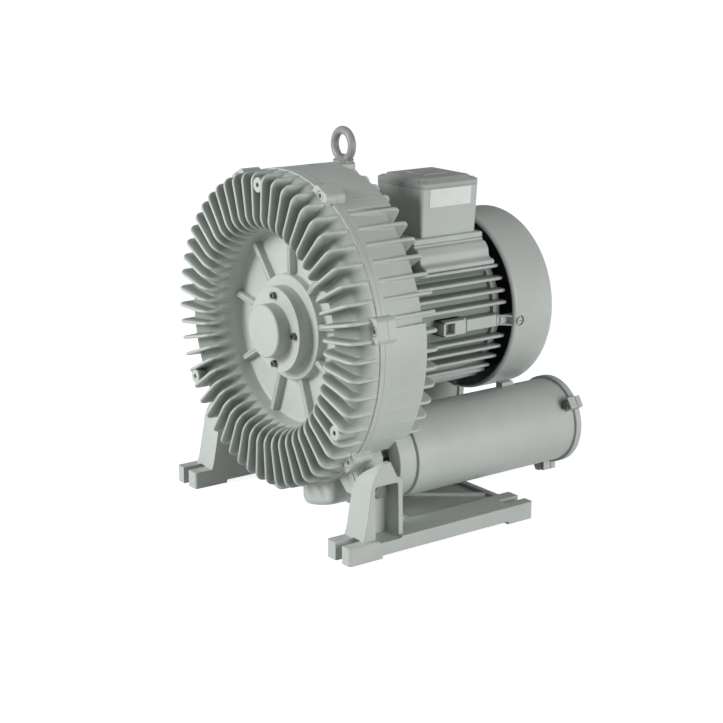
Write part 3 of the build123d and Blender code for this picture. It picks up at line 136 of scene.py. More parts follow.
def quilt(points, wrap=(False, False), caps=(False, False)):
    """Four-sided faces between the rows and columns of a grid, or of a stack of equal grids. wrap
    closes the rows or the columns on themselves, and a cap is one flat face over the first or last
    row. Faces are turned outwards by the sign of the volume that they enclose."""
    points = np.asarray(points, float)
    if points.ndim == 3:
        points = points[None]
    copies, rows, columns = points.shape[:3]
    index = np.arange(copies * rows * columns).reshape(copies, rows, columns)
    net = np.concatenate((index, index[:, :1]), 1) if wrap[0] else index
    net = np.concatenate((net, net[:, :, :1]), 2) if wrap[1] else net
    corners = (net[:, :-1, :-1], net[:, 1:, :-1], net[:, 1:, 1:], net[:, :-1, 1:])
    quads = np.stack(corners, -1).reshape(-1, 4)
    ends = []
    if caps[0]:
        ends += list(index[:, 0])
    if caps[1]:
        ends += list(index[:, -1, ::-1])
    vertices = points.reshape(-1, 3)
    around = vertices - vertices.mean(0)
    corner = around[quads]
    volume = np.einsum("ij,ij->", corner[:, 0], np.cross(corner[:, 1], corner[:, 2]))
    volume += np.einsum("ij,ij->", corner[:, 0], np.cross(corner[:, 2], corner[:, 3]))
    for end in ends:
        rim = around[end]
        fan = np.cross(rim[1:-1], rim[2:])
        volume += np.einsum("j,ij->", rim[0], fan)
    if volume < 0:
        quads = quads[:, ::-1]
        ends = [end[::-1] for end in ends]
    return vertices, quads, ends


def spun(outline, axis=SHAFT, start=0.0, sweep=360.0, steps=180):
    """Solid of revolution about a line along Y: for the angle t from the top, x = axis + r sin t and
    z = axis + r cos t, and y stays, for each point (r, y) of a closed outline."""
    full = sweep >= 360.0
    angle = np.radians(np.linspace(start, start + sweep, steps, endpoint=not full))[:, None]
    radius = outline[None, :, 0]
    length = np.broadcast_to(outline[None, :, 1], (steps, len(outline)))
    points = np.stack((axis[0] + radius * np.sin(angle), length, axis[1] + radius * np.cos(angle)), -1)
    return quilt(points, wrap=(full, True), caps=(not full, not full))


def stood(points, angles, axis=SHAFT):
    """Copies of points (radius, length, side) at angles from the top about a line along Y:
    x = r sin t + s cos t, z = r cos t - s sin t."""
    turn = np.radians(np.atleast_1d(angles))[(...,) + (None,) * (points.ndim - 1)]
    radius, length, side = points[..., 0], points[..., 1], points[..., 2]
    x = axis[0] + radius * np.sin(turn) + side * np.cos(turn)
    z = axis[1] + radius * np.cos(turn) - side * np.sin(turn)
    return np.stack((x, np.broadcast_to(length, x.shape), z), -1)


def slab_rows(outline, low, high, edge=(0.0, 0.0), draft=0.0):
    """Levels of an outline carried from low to high. Over each edge it's drawn in by a quarter circle,
    and draft narrows it evenly towards high. Gives rows of points (a, b, level)."""
    share = np.radians(np.linspace(0, 90, 5))
    levels, insets = [], []
    for radius, base, side in ((edge[0], low, 1), (edge[1], high, -1)):
        if radius > 0:
            level = base + side * radius * (1 - np.cos(share))
            amount = radius * (1 - np.sin(share))
        else:
            level, amount = np.array((base,)), np.array((0.0,))
        levels.append(level if side > 0 else level[::-1])
        insets.append(amount if side > 0 else amount[::-1])
    levels = np.concatenate(levels)
    amounts = np.concatenate(insets) + draft * (levels - low) / (high - low)
    rows = [np.concatenate((inset(outline, amount), np.full((len(outline), 1), level)), 1)
            for level, amount in zip(levels, amounts)]
    return np.array(rows)


def slab(outline, low, high, axes, edge=(1.0, 1.0), draft=0.0):
    """A slab whose outline lies in the plane of the first two axes and whose levels run along the third."""
    rows = slab_rows(outline, low, high, edge, draft)
    points = np.empty_like(rows)
    for place, axis in enumerate(axes):
        points[..., "xyz".index(axis)] = rows[..., place]
    return quilt(points, wrap=(False, True), caps=(True, True))


def fin(crest, root, half_crest, half_root, flare, angles, sunk=1.0, axis=SHAFT):
    """Radial cast fins. Crest and root are matching lines of points (radius, length). Across the fin,
    the distance d below the crest and the half width w follow a quarter circle at the crest,
    w = c cos t and d = c (1 - sin t), then a straight side with draft, then a quarter circle flare
    into the ground."""
    height = np.linalg.norm(crest - root, axis=1)[:, None]
    share = np.radians(np.linspace(0, 90, 5))[::-1]
    top_width = half_crest * np.cos(share)
    top_depth = half_crest * (1 - np.sin(share))
    foot = share[::-1]
    foot_width = half_root + flare * (1 - np.cos(foot))
    foot_depth = -flare * (1 - np.sin(foot))
    fit = np.clip(height / (half_crest + flare + 0.1), 0, 1)
    depth = np.concatenate((top_depth * fit, height + foot_depth * fit, height + sunk), 1)
    width = np.concatenate((np.tile(top_width, (len(height), 1)),
                            np.tile(foot_width, (len(height), 1)) * fit + half_crest * (1 - fit),
                            np.full_like(height, half_root + flare) * fit + half_crest * (1 - fit)), 1)
    depth = np.concatenate((depth[:, ::-1], depth[:, 1:]), 1)
    width = np.concatenate((-width[:, ::-1], width[:, 1:]), 1)
    down = (root - crest) / np.maximum(height, 1e-6)
    place = crest[:, None] + down[:, None] * depth[..., None]
    points = np.concatenate((place, width[..., None]), -1)
    return quilt(stood(points, angles, axis), wrap=(False, True), caps=(True, True))


def radial_plate(outline, half, edge, angles, axis=SHAFT):
    """Plates that stand along the shaft, with an outline in radius and length and a half thickness to
    each side, copied to angles."""
    rows = slab_rows(outline, -half, half, (edge, edge))
    return quilt(stood(rows, angles, axis), wrap=(False, True), caps=(True, True))


def radial_slab(outline, low, high, angles, edge=(1.0, 1.0), axis=SHAFT):
    """Slabs with an outline in radius and side, levels along the shaft, copied to angles."""
    rows = slab_rows(outline, low, high, edge)
    points = np.stack((rows[..., 0], rows[..., 2], rows[..., 1]), -1)
    return quilt(stood(points, angles, axis), wrap=(False, True), caps=(True, True))


def small_round(outline, circle, angles, axis=SHAFT, steps=28):
    """Small solids of revolution whose own axis runs along Y at a radius from the main one, copied to
    angles."""
    turn = np.radians(np.linspace(0, 360, steps, endpoint=False))[:, None]
    radius = outline[None, :, 0]
    length = np.broadcast_to(outline[None, :, 1], (steps, len(outline)))
    points = np.stack((circle + radius * np.cos(turn), length, radius * np.sin(turn)), -1)
    return quilt(stood(points, angles, axis), wrap=(True, True))


def flipped(surface):
    """Mirror image on the other side of the shaft plane, with its faces turned back outwards."""
    vertices, quads, ends = surface
    return vertices * np.array((-1.0, 1.0, 1.0)), quads[:, ::-1], [end[::-1] for end in ends]


def metres(points):
    """Points on the drawing, in millimetres, as points of the frame, in metres."""
    return (points - np.array((0.0, MIDDLE, 0.0))) / 1000.0


def piece(name, surfaces, material, replaces=(), body="blower_housing", sharp=38.0):
    """One object of several surfaces: joined, doubled points merged, smooth up to an angle, on its body."""
    vertices, faces, offset = [], [], 0
    for points, quads, ends in surfaces:
        vertices.append(points)
        faces += (quads + offset).tolist()
        faces += [(end + offset).tolist() for end in ends]
        offset += len(points)
    mesh = bpy.data.meshes.new(name)
    mesh.from_pydata(metres(np.concatenate(vertices)), [], faces)
    form = bmesh.new()
    form.from_mesh(mesh)
    bmesh.ops.remove_doubles(form, verts=form.verts, dist=1e-6)
    form.to_mesh(mesh)
    form.free()
    mesh.shade_smooth()
    mesh.set_sharp_from_angle(angle=radians(sharp))
    mesh.materials.append(material)
    made = bpy.data.objects.new(name, mesh)
    bpy.context.scene.collection.objects.link(made)
    weigh = made.modifiers.new("even_normals", "WEIGHTED_NORMAL")
    weigh.keep_sharp = True
    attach(made, body)
    if replaces:
        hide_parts(*replaces)
    return made


# Finishes

def node_group(name, inputs, outputs):
    """An empty shader group with float inputs and the outputs that it gives."""
    group = bpy.data.node_groups.new(name, "ShaderNodeTree")
    for label, value in inputs.items():
        socket = group.interface.new_socket(label, in_out="INPUT", socket_type="NodeSocketFloat")
        socket.default_value = value
    for label in outputs:
        group.interface.new_socket(label, in_out="OUTPUT", socket_type="NodeSocketFloat")
    start = group.nodes.new("NodeGroupInput")
    end = group.nodes.new("NodeGroupOutput")
    return group, start, end


def noise(tree, coordinates, scale, detail, roughness=0.5):
    """Noise on object coordinates; scale is a number or an output socket."""
    node = tree.nodes.new("ShaderNodeTexNoise")
    node.inputs["Detail"].default_value = detail
    node.inputs["Roughness"].default_value = roughness
    tree.links.new(coordinates, node.inputs["Vector"])
    if hasattr(scale, "is_linked"):
        tree.links.new(scale, node.inputs["Scale"])
    else:
        node.inputs["Scale"].default_value = scale
    return node.outputs["Fac"]


def maths(tree, operation, *values):
    """A Math node; each value is a number or an output socket."""
    node = tree.nodes.new("ShaderNodeMath")
    node.operation = operation
    for socket, value in zip(node.inputs, values):
        if hasattr(value, "is_linked"):
            tree.links.new(value, socket)
        else:
            socket.default_value = value
    return node.outputs[0]


def spread(tree, value, low, high, new_low, new_high):
    """A Map Range node: the value's range from low to high becomes the new one."""
    node = tree.nodes.new("ShaderNodeMapRange")
    for socket, number in zip(list(node.inputs)[1:5], (low, high, new_low, new_high)):
        socket.default_value = number
    tree.links.new(value, node.inputs["Value"])
    return node.outputs["Result"]


def cast_skin_group():
    """Sprayed paint on sand-cast metal. Tone is a broad cloud of tint, Grain the fine pebbling of the
    casting under the paint, with a few broader swells, and Specks the rare pits and grains of dirt."""
    group, start, end = node_group("cast_skin", {"Grain Scale": 620.0, "Cloud Scale": 9.0},
                                   ("Tone", "Grain", "Specks"))
    place = group.nodes.new("ShaderNodeTexCoord").outputs["Object"]
    cloud = noise(group, place, start.outputs["Cloud Scale"], 4.0, 0.6)
    fine = noise(group, place, start.outputs["Grain Scale"], 3.0, 0.55)
    swell = noise(group, place, 70.0, 2.0)
    speck = noise(group, place, 900.0, 1.0)
    links = group.links
    links.new(cloud, end.inputs["Tone"])
    links.new(maths(group, "ADD", maths(group, "MULTIPLY", fine, 0.6), maths(group, "MULTIPLY", swell, 0.4)),
              end.inputs["Grain"])
    links.new(spread(group, speck, 0.70, 0.76, 0.0, 1.0), end.inputs["Specks"])
    return group


def edge_wear_group():
    """Edges: how far the normal of a slightly rounded shape leaves the true one. Wear is broken up by
    noise, so that the paint thins here and there. Rounded is the normal of the rounded shape itself."""
    group, start, end = node_group("edge_wear", {"Break-up Scale": 160.0}, ("Edge", "Wear"))
    group.interface.new_socket("Rounded", in_out="OUTPUT", socket_type="NodeSocketVector")
    bevel = group.nodes.new("ShaderNodeBevel")
    bevel.samples = 6
    bevel.inputs["Radius"].default_value = 0.0018
    plain = group.nodes.new("ShaderNodeNewGeometry").outputs["Normal"]
    likeness = group.nodes.new("ShaderNodeVectorMath")
    likeness.operation = "DOT_PRODUCT"
    group.links.new(bevel.outputs["Normal"], likeness.inputs[0])
    group.links.new(plain, likeness.inputs[1])
    edge = spread(group, likeness.outputs["Value"], 0.995, 0.85, 0.0, 1.0)
    place = group.nodes.new("ShaderNodeTexCoord").outputs["Object"]
    patches = spread(group, noise(group, place, start.outputs["Break-up Scale"], 3.0), 0.45, 0.62, 0.0, 1.0)
    group.links.new(edge, end.inputs["Edge"])
    group.links.new(maths(group, "MULTIPLY", edge, patches), end.inputs["Wear"])
    group.links.new(bevel.outputs["Normal"], end.inputs["Rounded"])
    return group


# Where the painted shade starts: inside the cover fins' rim ends, outside their dish ends, below the motor
# fins' tips
SHADE_RIM = 229.5
SHADE_DISH = 145.0
SHADE_TIP = 121.0
MOTOR_START = 150.0


def valley_shade_group():
    """Painted shade between the fins, stronger the deeper a point lies. On the cover, depth is the least
    distance below the fins' tops, their rim ends and their dish ends, from the radius about the shaft and the
    length behind the fins' fronts.
    On the motor it's the distance below the fins' tips."""
    group, start, end = node_group("valley_shade", {"Shallow": 1.0, "Deep": 13.0}, ("Painted Shade",))
    place = group.nodes.new("ShaderNodeTexCoord").outputs["Object"]
    split = group.nodes.new("ShaderNodeSeparateXYZ")
    group.links.new(place, split.inputs[0])
    across = maths(group, "MULTIPLY", split.outputs["X"], 1000.0)
    behind = maths(group, "MULTIPLY_ADD", split.outputs["Y"], 1000.0, MIDDLE)
    above = maths(group, "MULTIPLY_ADD", split.outputs["Z"], 1000.0, -SHAFT[1])
    squares = maths(group, "MULTIPLY_ADD", across, across, maths(group, "MULTIPLY", above, above))
    radius = maths(group, "SQRT", squares)
    from_rim = maths(group, "SUBTRACT", SHADE_RIM, radius)
    from_dish = maths(group, "MULTIPLY", maths(group, "SUBTRACT", radius, SHADE_DISH), 1.1)
    on_cover = maths(group, "MINIMUM", maths(group, "MINIMUM", behind, from_rim), from_dish)
    on_motor = maths(group, "MULTIPLY", maths(group, "SUBTRACT", SHADE_TIP, radius), 0.8)
    is_motor = maths(group, "GREATER_THAN", behind, MOTOR_START)
    is_cover = maths(group, "SUBTRACT", 1.0, is_motor)
    depth = maths(group, "ADD", maths(group, "MULTIPLY", is_cover, on_cover),
                  maths(group, "MULTIPLY", is_motor, on_motor))
    patchy = maths(group, "MULTIPLY_ADD", noise(group, place, 30.0, 4.0, 0.6), 6.0, -3.0)
    span = group.nodes.new("ShaderNodeMapRange")
    span.interpolation_type = "SMOOTHSTEP"
    group.links.new(maths(group, "ADD", depth, patchy), span.inputs["Value"])
    group.links.new(start.outputs["Shallow"], span.inputs["From Min"])
    group.links.new(start.outputs["Deep"], span.inputs["From Max"])
    group.links.new(span.outputs["Result"], end.inputs["Painted Shade"])
    return group


CAST_SKIN = cast_skin_group()
EDGE_WEAR = edge_wear_group()
VALLEY_SHADE = valley_shade_group()


def bare_material(name):
    """A new material, with its node tree and its Principled BSDF."""
    material = bpy.data.materials.new(name)
    material.use_nodes = True
    shader = material.node_tree.nodes["Principled BSDF"]
    return material, material.node_tree, shader


def tinted(tree, mask, colour_low, colour_high):
    """A colour mix from low to high by a mask."""
    node = tree.nodes.new("ShaderNodeMix")
    node.data_type = "RGBA"
    node.inputs["A"].default_value = (*colour_low, 1.0)
    node.inputs["B"].default_value = (*colour_high, 1.0)
    if hasattr(mask, "is_linked"):
        tree.links.new(mask, node.inputs["Factor"])
    return node


def bumped(tree, shader, height, strength, distance, normal=None):
    """A Bump node on a height, over the rounded normal where one is given."""
    bump = tree.nodes.new("ShaderNodeBump")
    if normal is not None:
        tree.links.new(normal, bump.inputs["Normal"])
    bump.inputs["Strength"].default_value = strength
    bump.inputs["Distance"].default_value = distance
    tree.links.new(height, bump.inputs["Height"])
    tree.links.new(bump.outputs["Normal"], shader.inputs["Normal"])


def machine_paint(name, colour, grain=0.5, gloss=0.42, grain_scale=620.0, shade_valleys=False):
    """Satin machine paint: tint drifts a little, specks are darker, and the casting's grain shows
    through. Where asked, painted shade darkens it between the fins."""
    material, tree, shader = bare_material(name)
    skin = tree.nodes.new("ShaderNodeGroup")
    skin.node_tree = CAST_SKIN
    skin.inputs["Grain Scale"].default_value = grain_scale
    low = tuple(0.93 * c for c in colour)
    high = tuple(min(1.0, 1.06 * c) for c in colour)
    tone = spread(tree, skin.outputs["Tone"], 0.3, 0.7, 0.0, 1.0)
    drift = tinted(tree, tone, low, high)
    specked = tinted(tree, maths(tree, "MULTIPLY", skin.outputs["Specks"], 0.5), colour,
                     tuple(0.6 * c for c in colour))
    tree.links.new(drift.outputs["Result"], specked.inputs["A"])
    edges = tree.nodes.new("ShaderNodeGroup")
    edges.node_tree = EDGE_WEAR
    worn = tinted(tree, maths(tree, "MULTIPLY", edges.outputs["Wear"], 0.45), colour,
                  tuple(min(1.0, 1.35 * c) for c in colour))
    tree.links.new(specked.outputs["Result"], worn.inputs["A"])
    top = worn
    # Painted shade: between the fins the colour is darkened with depth below the fins' tops
    if shade_valleys:
        shade_node = tree.nodes.new("ShaderNodeGroup")
        shade_node.node_tree = VALLEY_SHADE
        top = tinted(tree, shade_node.outputs["Painted Shade"], colour, tuple(c * d for c, d in zip(colour, VALLEY_SHADE_TINT)))
        tree.links.new(worn.outputs["Result"], top.inputs["A"])
    tree.links.new(top.outputs["Result"], shader.inputs["Base Color"])
    rough = spread(tree, skin.outputs["Grain"], 0.3, 0.7, gloss - 0.05, gloss + 0.07)
    tree.links.new(rough, shader.inputs["Roughness"])
    shader.inputs["Specular IOR Level"].default_value = 0.45
    bumped(tree, shader, skin.outputs["Grain"], grain, 0.0006, edges.outputs["Rounded"])
    return material


def metal(name, colour, roughness, grain_scale=900.0, grain=0.15):
    """Bare or plated metal with fine unevenness in its gloss."""
    material, tree, shader = bare_material(name)
    shader.inputs["Metallic"].default_value = 1.0
    place = tree.nodes.new("ShaderNodeTexCoord").outputs["Object"]
    patches = noise(tree, place, 45.0, 4.0, 0.6)
    fine = noise(tree, place, grain_scale, 2.0)
    shade = tinted(tree, spread(tree, patches, 0.3, 0.7, 0.0, 1.0), tuple(0.85 * c for c in colour), colour)
    tree.links.new(shade.outputs["Result"], shader.inputs["Base Color"])
    tree.links.new(spread(tree, fine, 0.3, 0.7, roughness - 0.06, roughness + 0.08),
                   shader.inputs["Roughness"])
    bumped(tree, shader, fine, grain, 0.0003)
    return material


def moulded(name, colour, roughness, grain=0.25, scale=1400.0):
    """Moulded plastic or rubber with a fine matt texture."""
    material, tree, shader = bare_material(name)
    place = tree.nodes.new("ShaderNodeTexCoord").outputs["Object"]
    fine = noise(tree, place, scale, 3.0)
    cloud = noise(tree, place, 20.0, 3.0)
    shade = tinted(tree, spread(tree, cloud, 0.3, 0.7, 0.0, 1.0), tuple(0.85 * c for c in colour), colour)
    tree.links.new(shade.outputs["Result"], shader.inputs["Base Color"])
    tree.links.new(spread(tree, fine, 0.3, 0.7, roughness - 0.05, roughness + 0.05),
                   shader.inputs["Roughness"])
    bumped(tree, shader, fine, grain, 0.0003)
    return material


PAINT = (0.47, 0.505, 0.478)
# Factor by which the painted shade darkens the paint deep between the fins
VALLEY_SHADE_TINT = (0.50, 0.54, 0.51)
cast_paint = machine_paint("cast_paint", PAINT)
# Paint with painted shade between the fins, for the cover and motor castings
valley_shade_paint = machine_paint("valley_shade_paint", PAINT, shade_valleys=True)
sheet_paint = machine_paint("sheet_paint", PAINT, grain=0.22, gloss=0.36, grain_scale=1100.0)
# The lid's paint is darker than the rest: painted shade, for the lid's top that lies darker under the light
lid_shade_paint = machine_paint("lid_shade_paint", tuple(0.8 * c for c in PAINT), grain=0.3, gloss=0.38)
eye_paint = machine_paint("eye_paint", (0.27, 0.275, 0.27), grain=0.35, gloss=0.36)
zinc = metal("zinc_plating", (0.62, 0.62, 0.60), 0.38)
dark_steel = metal("dark_steel", (0.16, 0.165, 0.16), 0.42)
ground_steel = metal("ground_steel", (0.6, 0.6, 0.6), 0.28)
race_steel = metal("race_steel", (0.72, 0.72, 0.73), 0.15)
brass = metal("brass", (0.75, 0.55, 0.25), 0.3)
raw_casting = metal("raw_casting", (0.72, 0.73, 0.74), 0.5, 600.0, 0.4)
core_steel = metal("core_sheet", (0.3, 0.31, 0.32), 0.5)
copper = metal("winding_copper", (0.62, 0.25, 0.12), 0.35)
rubber = moulded("seal_rubber", (0.03, 0.03, 0.03), 0.75)
foam = moulded("damping_foam", (0.10, 0.10, 0.11), 0.95, 1.0, 500.0)
black_plastic = moulded("black_plastic", (0.04, 0.04, 0.04), 0.5)
plate_film = moulded("bare_plate", (0.80, 0.83, 0.80), 0.35, 0.05)

BY_SLOT = {"casting_paint": cast_paint, "sheet_paint": sheet_paint, "eye_paint": eye_paint,
           "zinc_steel": zinc, "machined_steel": ground_steel, "bearing_steel": race_steel,
           "cage_brass": brass, "cast_aluminium": raw_casting, "lamination_steel": core_steel,
           "copper_winding": copper, "seal_rubber": rubber, "foam": foam, "black_plastic": black_plastic,
           "plate_film": plate_film}


# Small parts that were sprayed with what holds them, and screws and bolts shown in dark steel
SPRAYED = ("cover_bolts", "cowl_screws", "foot_washers", "silencer_gaskets")
# The lid with its screws and gasket, in the lid's darker paint, which is painted shade
WITH_LID = ("terminal_box_lid", "lid_screws", "terminal_box_gasket")
DARK_STEEL_PARTS = ("silencer_end_screws", "bearing_cap_screws", "foot_bolts")


def dress_nodes():
    """Every solid of the frame gets the finish of its slot, or the one of the group that it's in."""
    for part in frame["record"]["subparts"]:
        finish = BY_SLOT[part["material_slot"]]
        for group, shared in ((SPRAYED, sheet_paint), (WITH_LID, lid_shade_paint), (DARK_STEEL_PARTS, dark_steel)):
            if part["node"] in group:
                finish = shared
        shown = frame["nodes"][part["node"]]
        shown.data.materials.clear()
        shown.data.materials.append(finish)


dress_nodes()


# Cover with its fins

CREST = np.array((170.0, 47.0))
SHELL = 27.0
SHOULDER = np.array((203.0, 46.0))
SHOULDER_RADIUS = 26.0
FIN_CORNER = 14.0
FIN_REACH = 229.0
# How far the middle of a quarter circle lies inside its corner, as a share of its radius
QUARTER_MIDDLE = 0.293


def shoulder_arc(radius, start, end, steps):
    """Arc around the shoulder's centre; the angles are counted from straight forward towards the rim."""
    turn = np.radians(np.linspace(start, end, steps))
    return SHOULDER + radius * np.stack((np.sin(turn), -np.cos(turn)), -1)


def cover_turning():
    """Rim flange, round shoulder, channel crest, dish wall, web and hub rings, as one turned outline
    with cast corners. A cored pocket lies behind the shoulder."""
    crest = arc_through((143.0, 47.0), (150.9, 27.9), (170.0, 20.0), 18)
    shoulder = shoulder_arc(SHOULDER_RADIUS, 0, 87, 18)
    pocket = shoulder_arc(19.5, 90, 0, 12)
    inside = arc_through((191, 49), (170, 28), (149, 49), 13)
    outline = rounded([(RIM, 45, 1.4), (RIM, SEAM, 0.5), (222.5, SEAM, 0.3)]
                      + [(*point, 0) for point in pocket]
                      + [(203, SEAM, 0.3), (191, SEAM, 0.5)] + [(*point, 0) for point in inside]
                      + [(149, 72, 1), (31, 72, 0.5), (31, 61, 0.3), (40, 61, 0.3), (40, 37, 0.5),
                         (62.3, 37, 0.3), (62.3, 50, 1.0), (78, 50, 2.5), (78, 64, 4), (143, 64, 3.5)]
                      + [(*point, 0) for point in crest] + [(*point, 0) for point in shoulder]
                      + [(229.2, 45, 0.4)])
    return spun(outline, steps=216)


def cover_fins():
    """Fifty-four fins from the dish wall over the crest and round to the rim, rounded on top and flared
    at the foot. The root follows the crest arc, the level top and the shoulder below each point."""
    cut = FIN_CORNER * QUARTER_MIDDLE
    crest = np.concatenate((np.linspace((143.5, 44), (143.5, 31), 4),
                            arc_through((143.5, 30), (150, 9), (167.5, 0), 11),
                            np.linspace((171, 0), (212, 0), 9),
                            arc_through((FIN_REACH - FIN_CORNER, 0), (FIN_REACH - cut, cut),
                                        (FIN_REACH, FIN_CORNER), 12),
                            np.linspace((229.1, 17), (230, 44), 8)))
    radius = crest[:, :1]
    away = crest - CREST
    at_crest = CREST + away / np.linalg.norm(away, axis=1)[:, None] * (SHELL - 0.6)
    level = np.concatenate((radius, np.full_like(radius, 20.6)), 1)
    out = crest - SHOULDER
    at_shoulder = SHOULDER + out / np.linalg.norm(out, axis=1)[:, None] * (SHOULDER_RADIUS - 0.6)
    beyond_crest = np.where(radius < SHOULDER[0], level, at_shoulder)
    root = np.where(radius < CREST[0], at_crest, beyond_crest)
    return fin(crest, root, 2.5, 3.3, 2.6, FIN_ANGLES)


def cover_ribs():
    """Nine low bars on the web, rounded all along."""
    outline = box_outline(74, 146, -4.6, 4.6, 2.5)
    return radial_slab(outline, 52, 65, np.arange(9) * 40.0, edge=(3.2, 0))


PAD = rounded([(223.5, -18, 2), (236, -18, 3), (241, -13, 4), (241, 13, 4), (236, 18, 3), (223.5, 18, 2)])
PAD_BOLT = np.array((231.5, 0.0))
PAD_TURN = np.radians(np.arange(0, 360, 5.0))
PAD_RAYS = np.stack((np.cos(PAD_TURN), np.sin(PAD_TURN)), -1)


def pad_ring(amount):
    """The pad's outline, drawn in by an amount, where rays from the bolt's axis meet it: along a
    direction d it lies at the least of h / (n . d), for the outward normal n and distance h of each
    of its sides."""
    outline = inset(PAD, amount) - PAD_BOLT
    along = np.roll(outline, -1, 0) - outline
    normal = np.stack((along[:, 1], -along[:, 0]), -1) / np.linalg.norm(along, axis=1)[:, None]
    distance = (normal * outline).sum(1)
    facing = PAD_RAYS @ normal.T
    reach = np.where(facing > 1e-6, distance / np.maximum(facing, 1e-6), np.inf).min(1)
    return PAD_BOLT + PAD_RAYS * reach[:, None]


def cover_pads():
    """Six wide pads on the rim. In each a counterbore with a broken edge goes in to the seat of its
    sunk bolt. The rows run from the seat up the bore, over the face and down the outside."""
    bore = ((7.0, 44.6), (7.0, 36.6), (7.4, 36.0))
    outside = ((1.0, 36.0), (0.3, 36.3), (0, 37.0), (0, SEAM))
    rows = [np.insert(PAD_BOLT + PAD_RAYS * radius, 1, length, axis=1) for radius, length in bore]
    rows += [np.insert(pad_ring(amount), 1, length, axis=1) for amount, length in outside]
    return quilt(stood(np.array(rows), RIM_ANGLES), wrap=(False, True), caps=(True, True))


def casing_pads():
    """The casing's share of the six pads, behind the seam."""
    return radial_slab(PAD, SEAM, 68, RIM_ANGLES, edge=(0.4, 2.0))


def cover_bosses():
    """Three round bosses between the fins, each with its bored hole."""
    outline = rounded([(0, 14), (3.4, 14, 0), (3.4, 2, 0.6), (11, 2, 1.6), (11, 32, 0), (0, 32)])
    return small_round(outline, 212, BOSS_ANGLES)


piece("cover_casting", [cover_turning(), cover_fins(), cover_ribs(), cover_pads(), cover_bosses()],
      valley_shade_paint, ("casing_cover",))


# Casing behind the cover

SMOOTH_TOP = (-20.0, 55.0)
SMOOTH_RIGHT = (80.0, 50.0)
SMOOTH_LEFT = (-130.0, 50.0)
DUCT_REACH = 264.0


def casing_turning():
    """Rim flange, sloping band, rear half of the channel, web, seal hub and motor ring, as one turned
    outline."""
    shell = arc_through((197, 100), (170, 127), (143, 100), 21)
    channel = arc_through((149, 100), (170, 121), (191, 100), 15)
    outline = rounded([(191, SEAM, 0.5), (RIM, SEAM, 0.6), (RIM, 61, 1.2), (229, 61.4, 0.5), (222, 127, 1.8),
                       (216, 127, 1.8), (223, 67, 3), (197, 67, 3)] + [(*point, 0) for point in shell]
                      + [(143, 98, 2), (124, 98, 4), (124, 128, 1.2), (100, 128, 0.8), (100, 98, 3),
                         (50.5, 98, 3), (50.5, 118.5, 1), (32.5, 118.5, 0.5), (32.5, 108.5, 0),
                         (28.5, 108.5, 0), (28.5, 105.5, 0), (39.5, 105.5, 0), (39.5, 88, 0.5), (149, 88, 1)]
                      + [(*point, 0) for point in channel])
    return spun(outline, steps=216)


def casing_plates():
    """Fifty-four rear fins as upright plates, which stand a little above the band and out behind it."""
    outline = rounded([(193, 59, 0), (230.3, 59, 1), (230.3, 150, 11), (152, 150, 5), (152, 120, 1),
                       (170, 125, 0), (191, 110, 0)])
    return radial_plate(outline, 2.75, 2.2, FIN_ANGLES)


def smooth_stretch(start, sweep, rear):
    """A stretch of the band that is cast level with the fins, with soft rear and side edges."""
    outline = rounded([(214, 60, 0), (230.6, 60, 0.4), (230.6, rear, 3.5), (214, rear, 0)])
    return spun(outline, start=start, sweep=sweep, steps=int(sweep) + 1)


def port_block():
    """Duct under the casing: its outline in x and z is round about the shaft below, and its front edge
    is soft."""
    turn = np.radians(np.linspace(9.5, 20.5, 12))
    below = np.stack((DUCT_REACH * np.sin(turn), SHAFT[1] - DUCT_REACH * np.cos(turn)), -1)
    outline = rounded([(26, 22.6, 14)] + [(*point, 0) for point in below]
                      + [(106, 43.2, 10), (106, 113, 9.5), (26, 113, 9.5)])
    return slab(outline, 53.5, 128, "xzy", edge=(9.0, 1.5))


def casing_foot():
    """Foot cast on the casing, by which it's bolted to the base."""
    outline = rounded([(112, 92, 3), (138, 70, 6), (176, 70, 1), (176, 126, 1), (160, 150, 6), (130, 140, 3)])
    return slab(outline, 54.5, 92.5, "xzy", edge=(3.0, 2.0))


def port_neck():
    """Round neck from the duct into the silencer."""
    outline = rounded([(34, 105, 0), (60, 105, 0), (60, 134.5, 1.5), (34, 134.5, 0.5)])
    return spun(outline, RIGHT_SILENCER, steps=96)


def eye_pad():
    """Pad under the lifting eye, round behind."""
    outline = rounded([(-17, 97, 0.5), (17, 97, 0.5), (17, 168, 16.4), (-17, 168, 16.4)])
    return slab(outline, 456, 516, "xyz", edge=(0.5, 1.4))


casing = [casing_turning(), casing_plates(), smooth_stretch(*SMOOTH_TOP, 138),
          smooth_stretch(*SMOOTH_RIGHT, 127), smooth_stretch(*SMOOTH_LEFT, 127), casing_pads(), eye_pad()]
for side in (port_block(), casing_foot(), port_neck()):
    casing += [side, flipped(side)]
piece("rear_casting", casing, cast_paint, ("rear_casing",))


# Motor housing

BORE, TUBE = 92.0, 99.0
PITCH = 17.4
HALF_FIN = 2.5
FIN_ROUND = 2.2
# Radii about the shaft: the fins' roots inside the tube, their heels behind it, and their tips
FIN_ROOT, FIN_HEEL, FIN_TIP = 96.0, 106.0, 122.0
FIN_START, FIN_END = 156.0, 366.5
MOTOR_END = 352.0
LEAST_INNER = 20.0
ARM_REACH = 134.3
ARM_ANGLES = np.array((0.0, 93.7, 180.0, 266.3))


def motor_turning():
    """Motor tube with its front flange, as one turned outline."""
    outline = rounded([(BORE, 128, 0.5), (124, 128, 1.0), (124, 141, 2.0), (TUBE, 141, 4.0),
                       (TUBE, MOTOR_END, 1.0), (BORE, MOTOR_END, 0.5)])
    return spun(outline, steps=180)


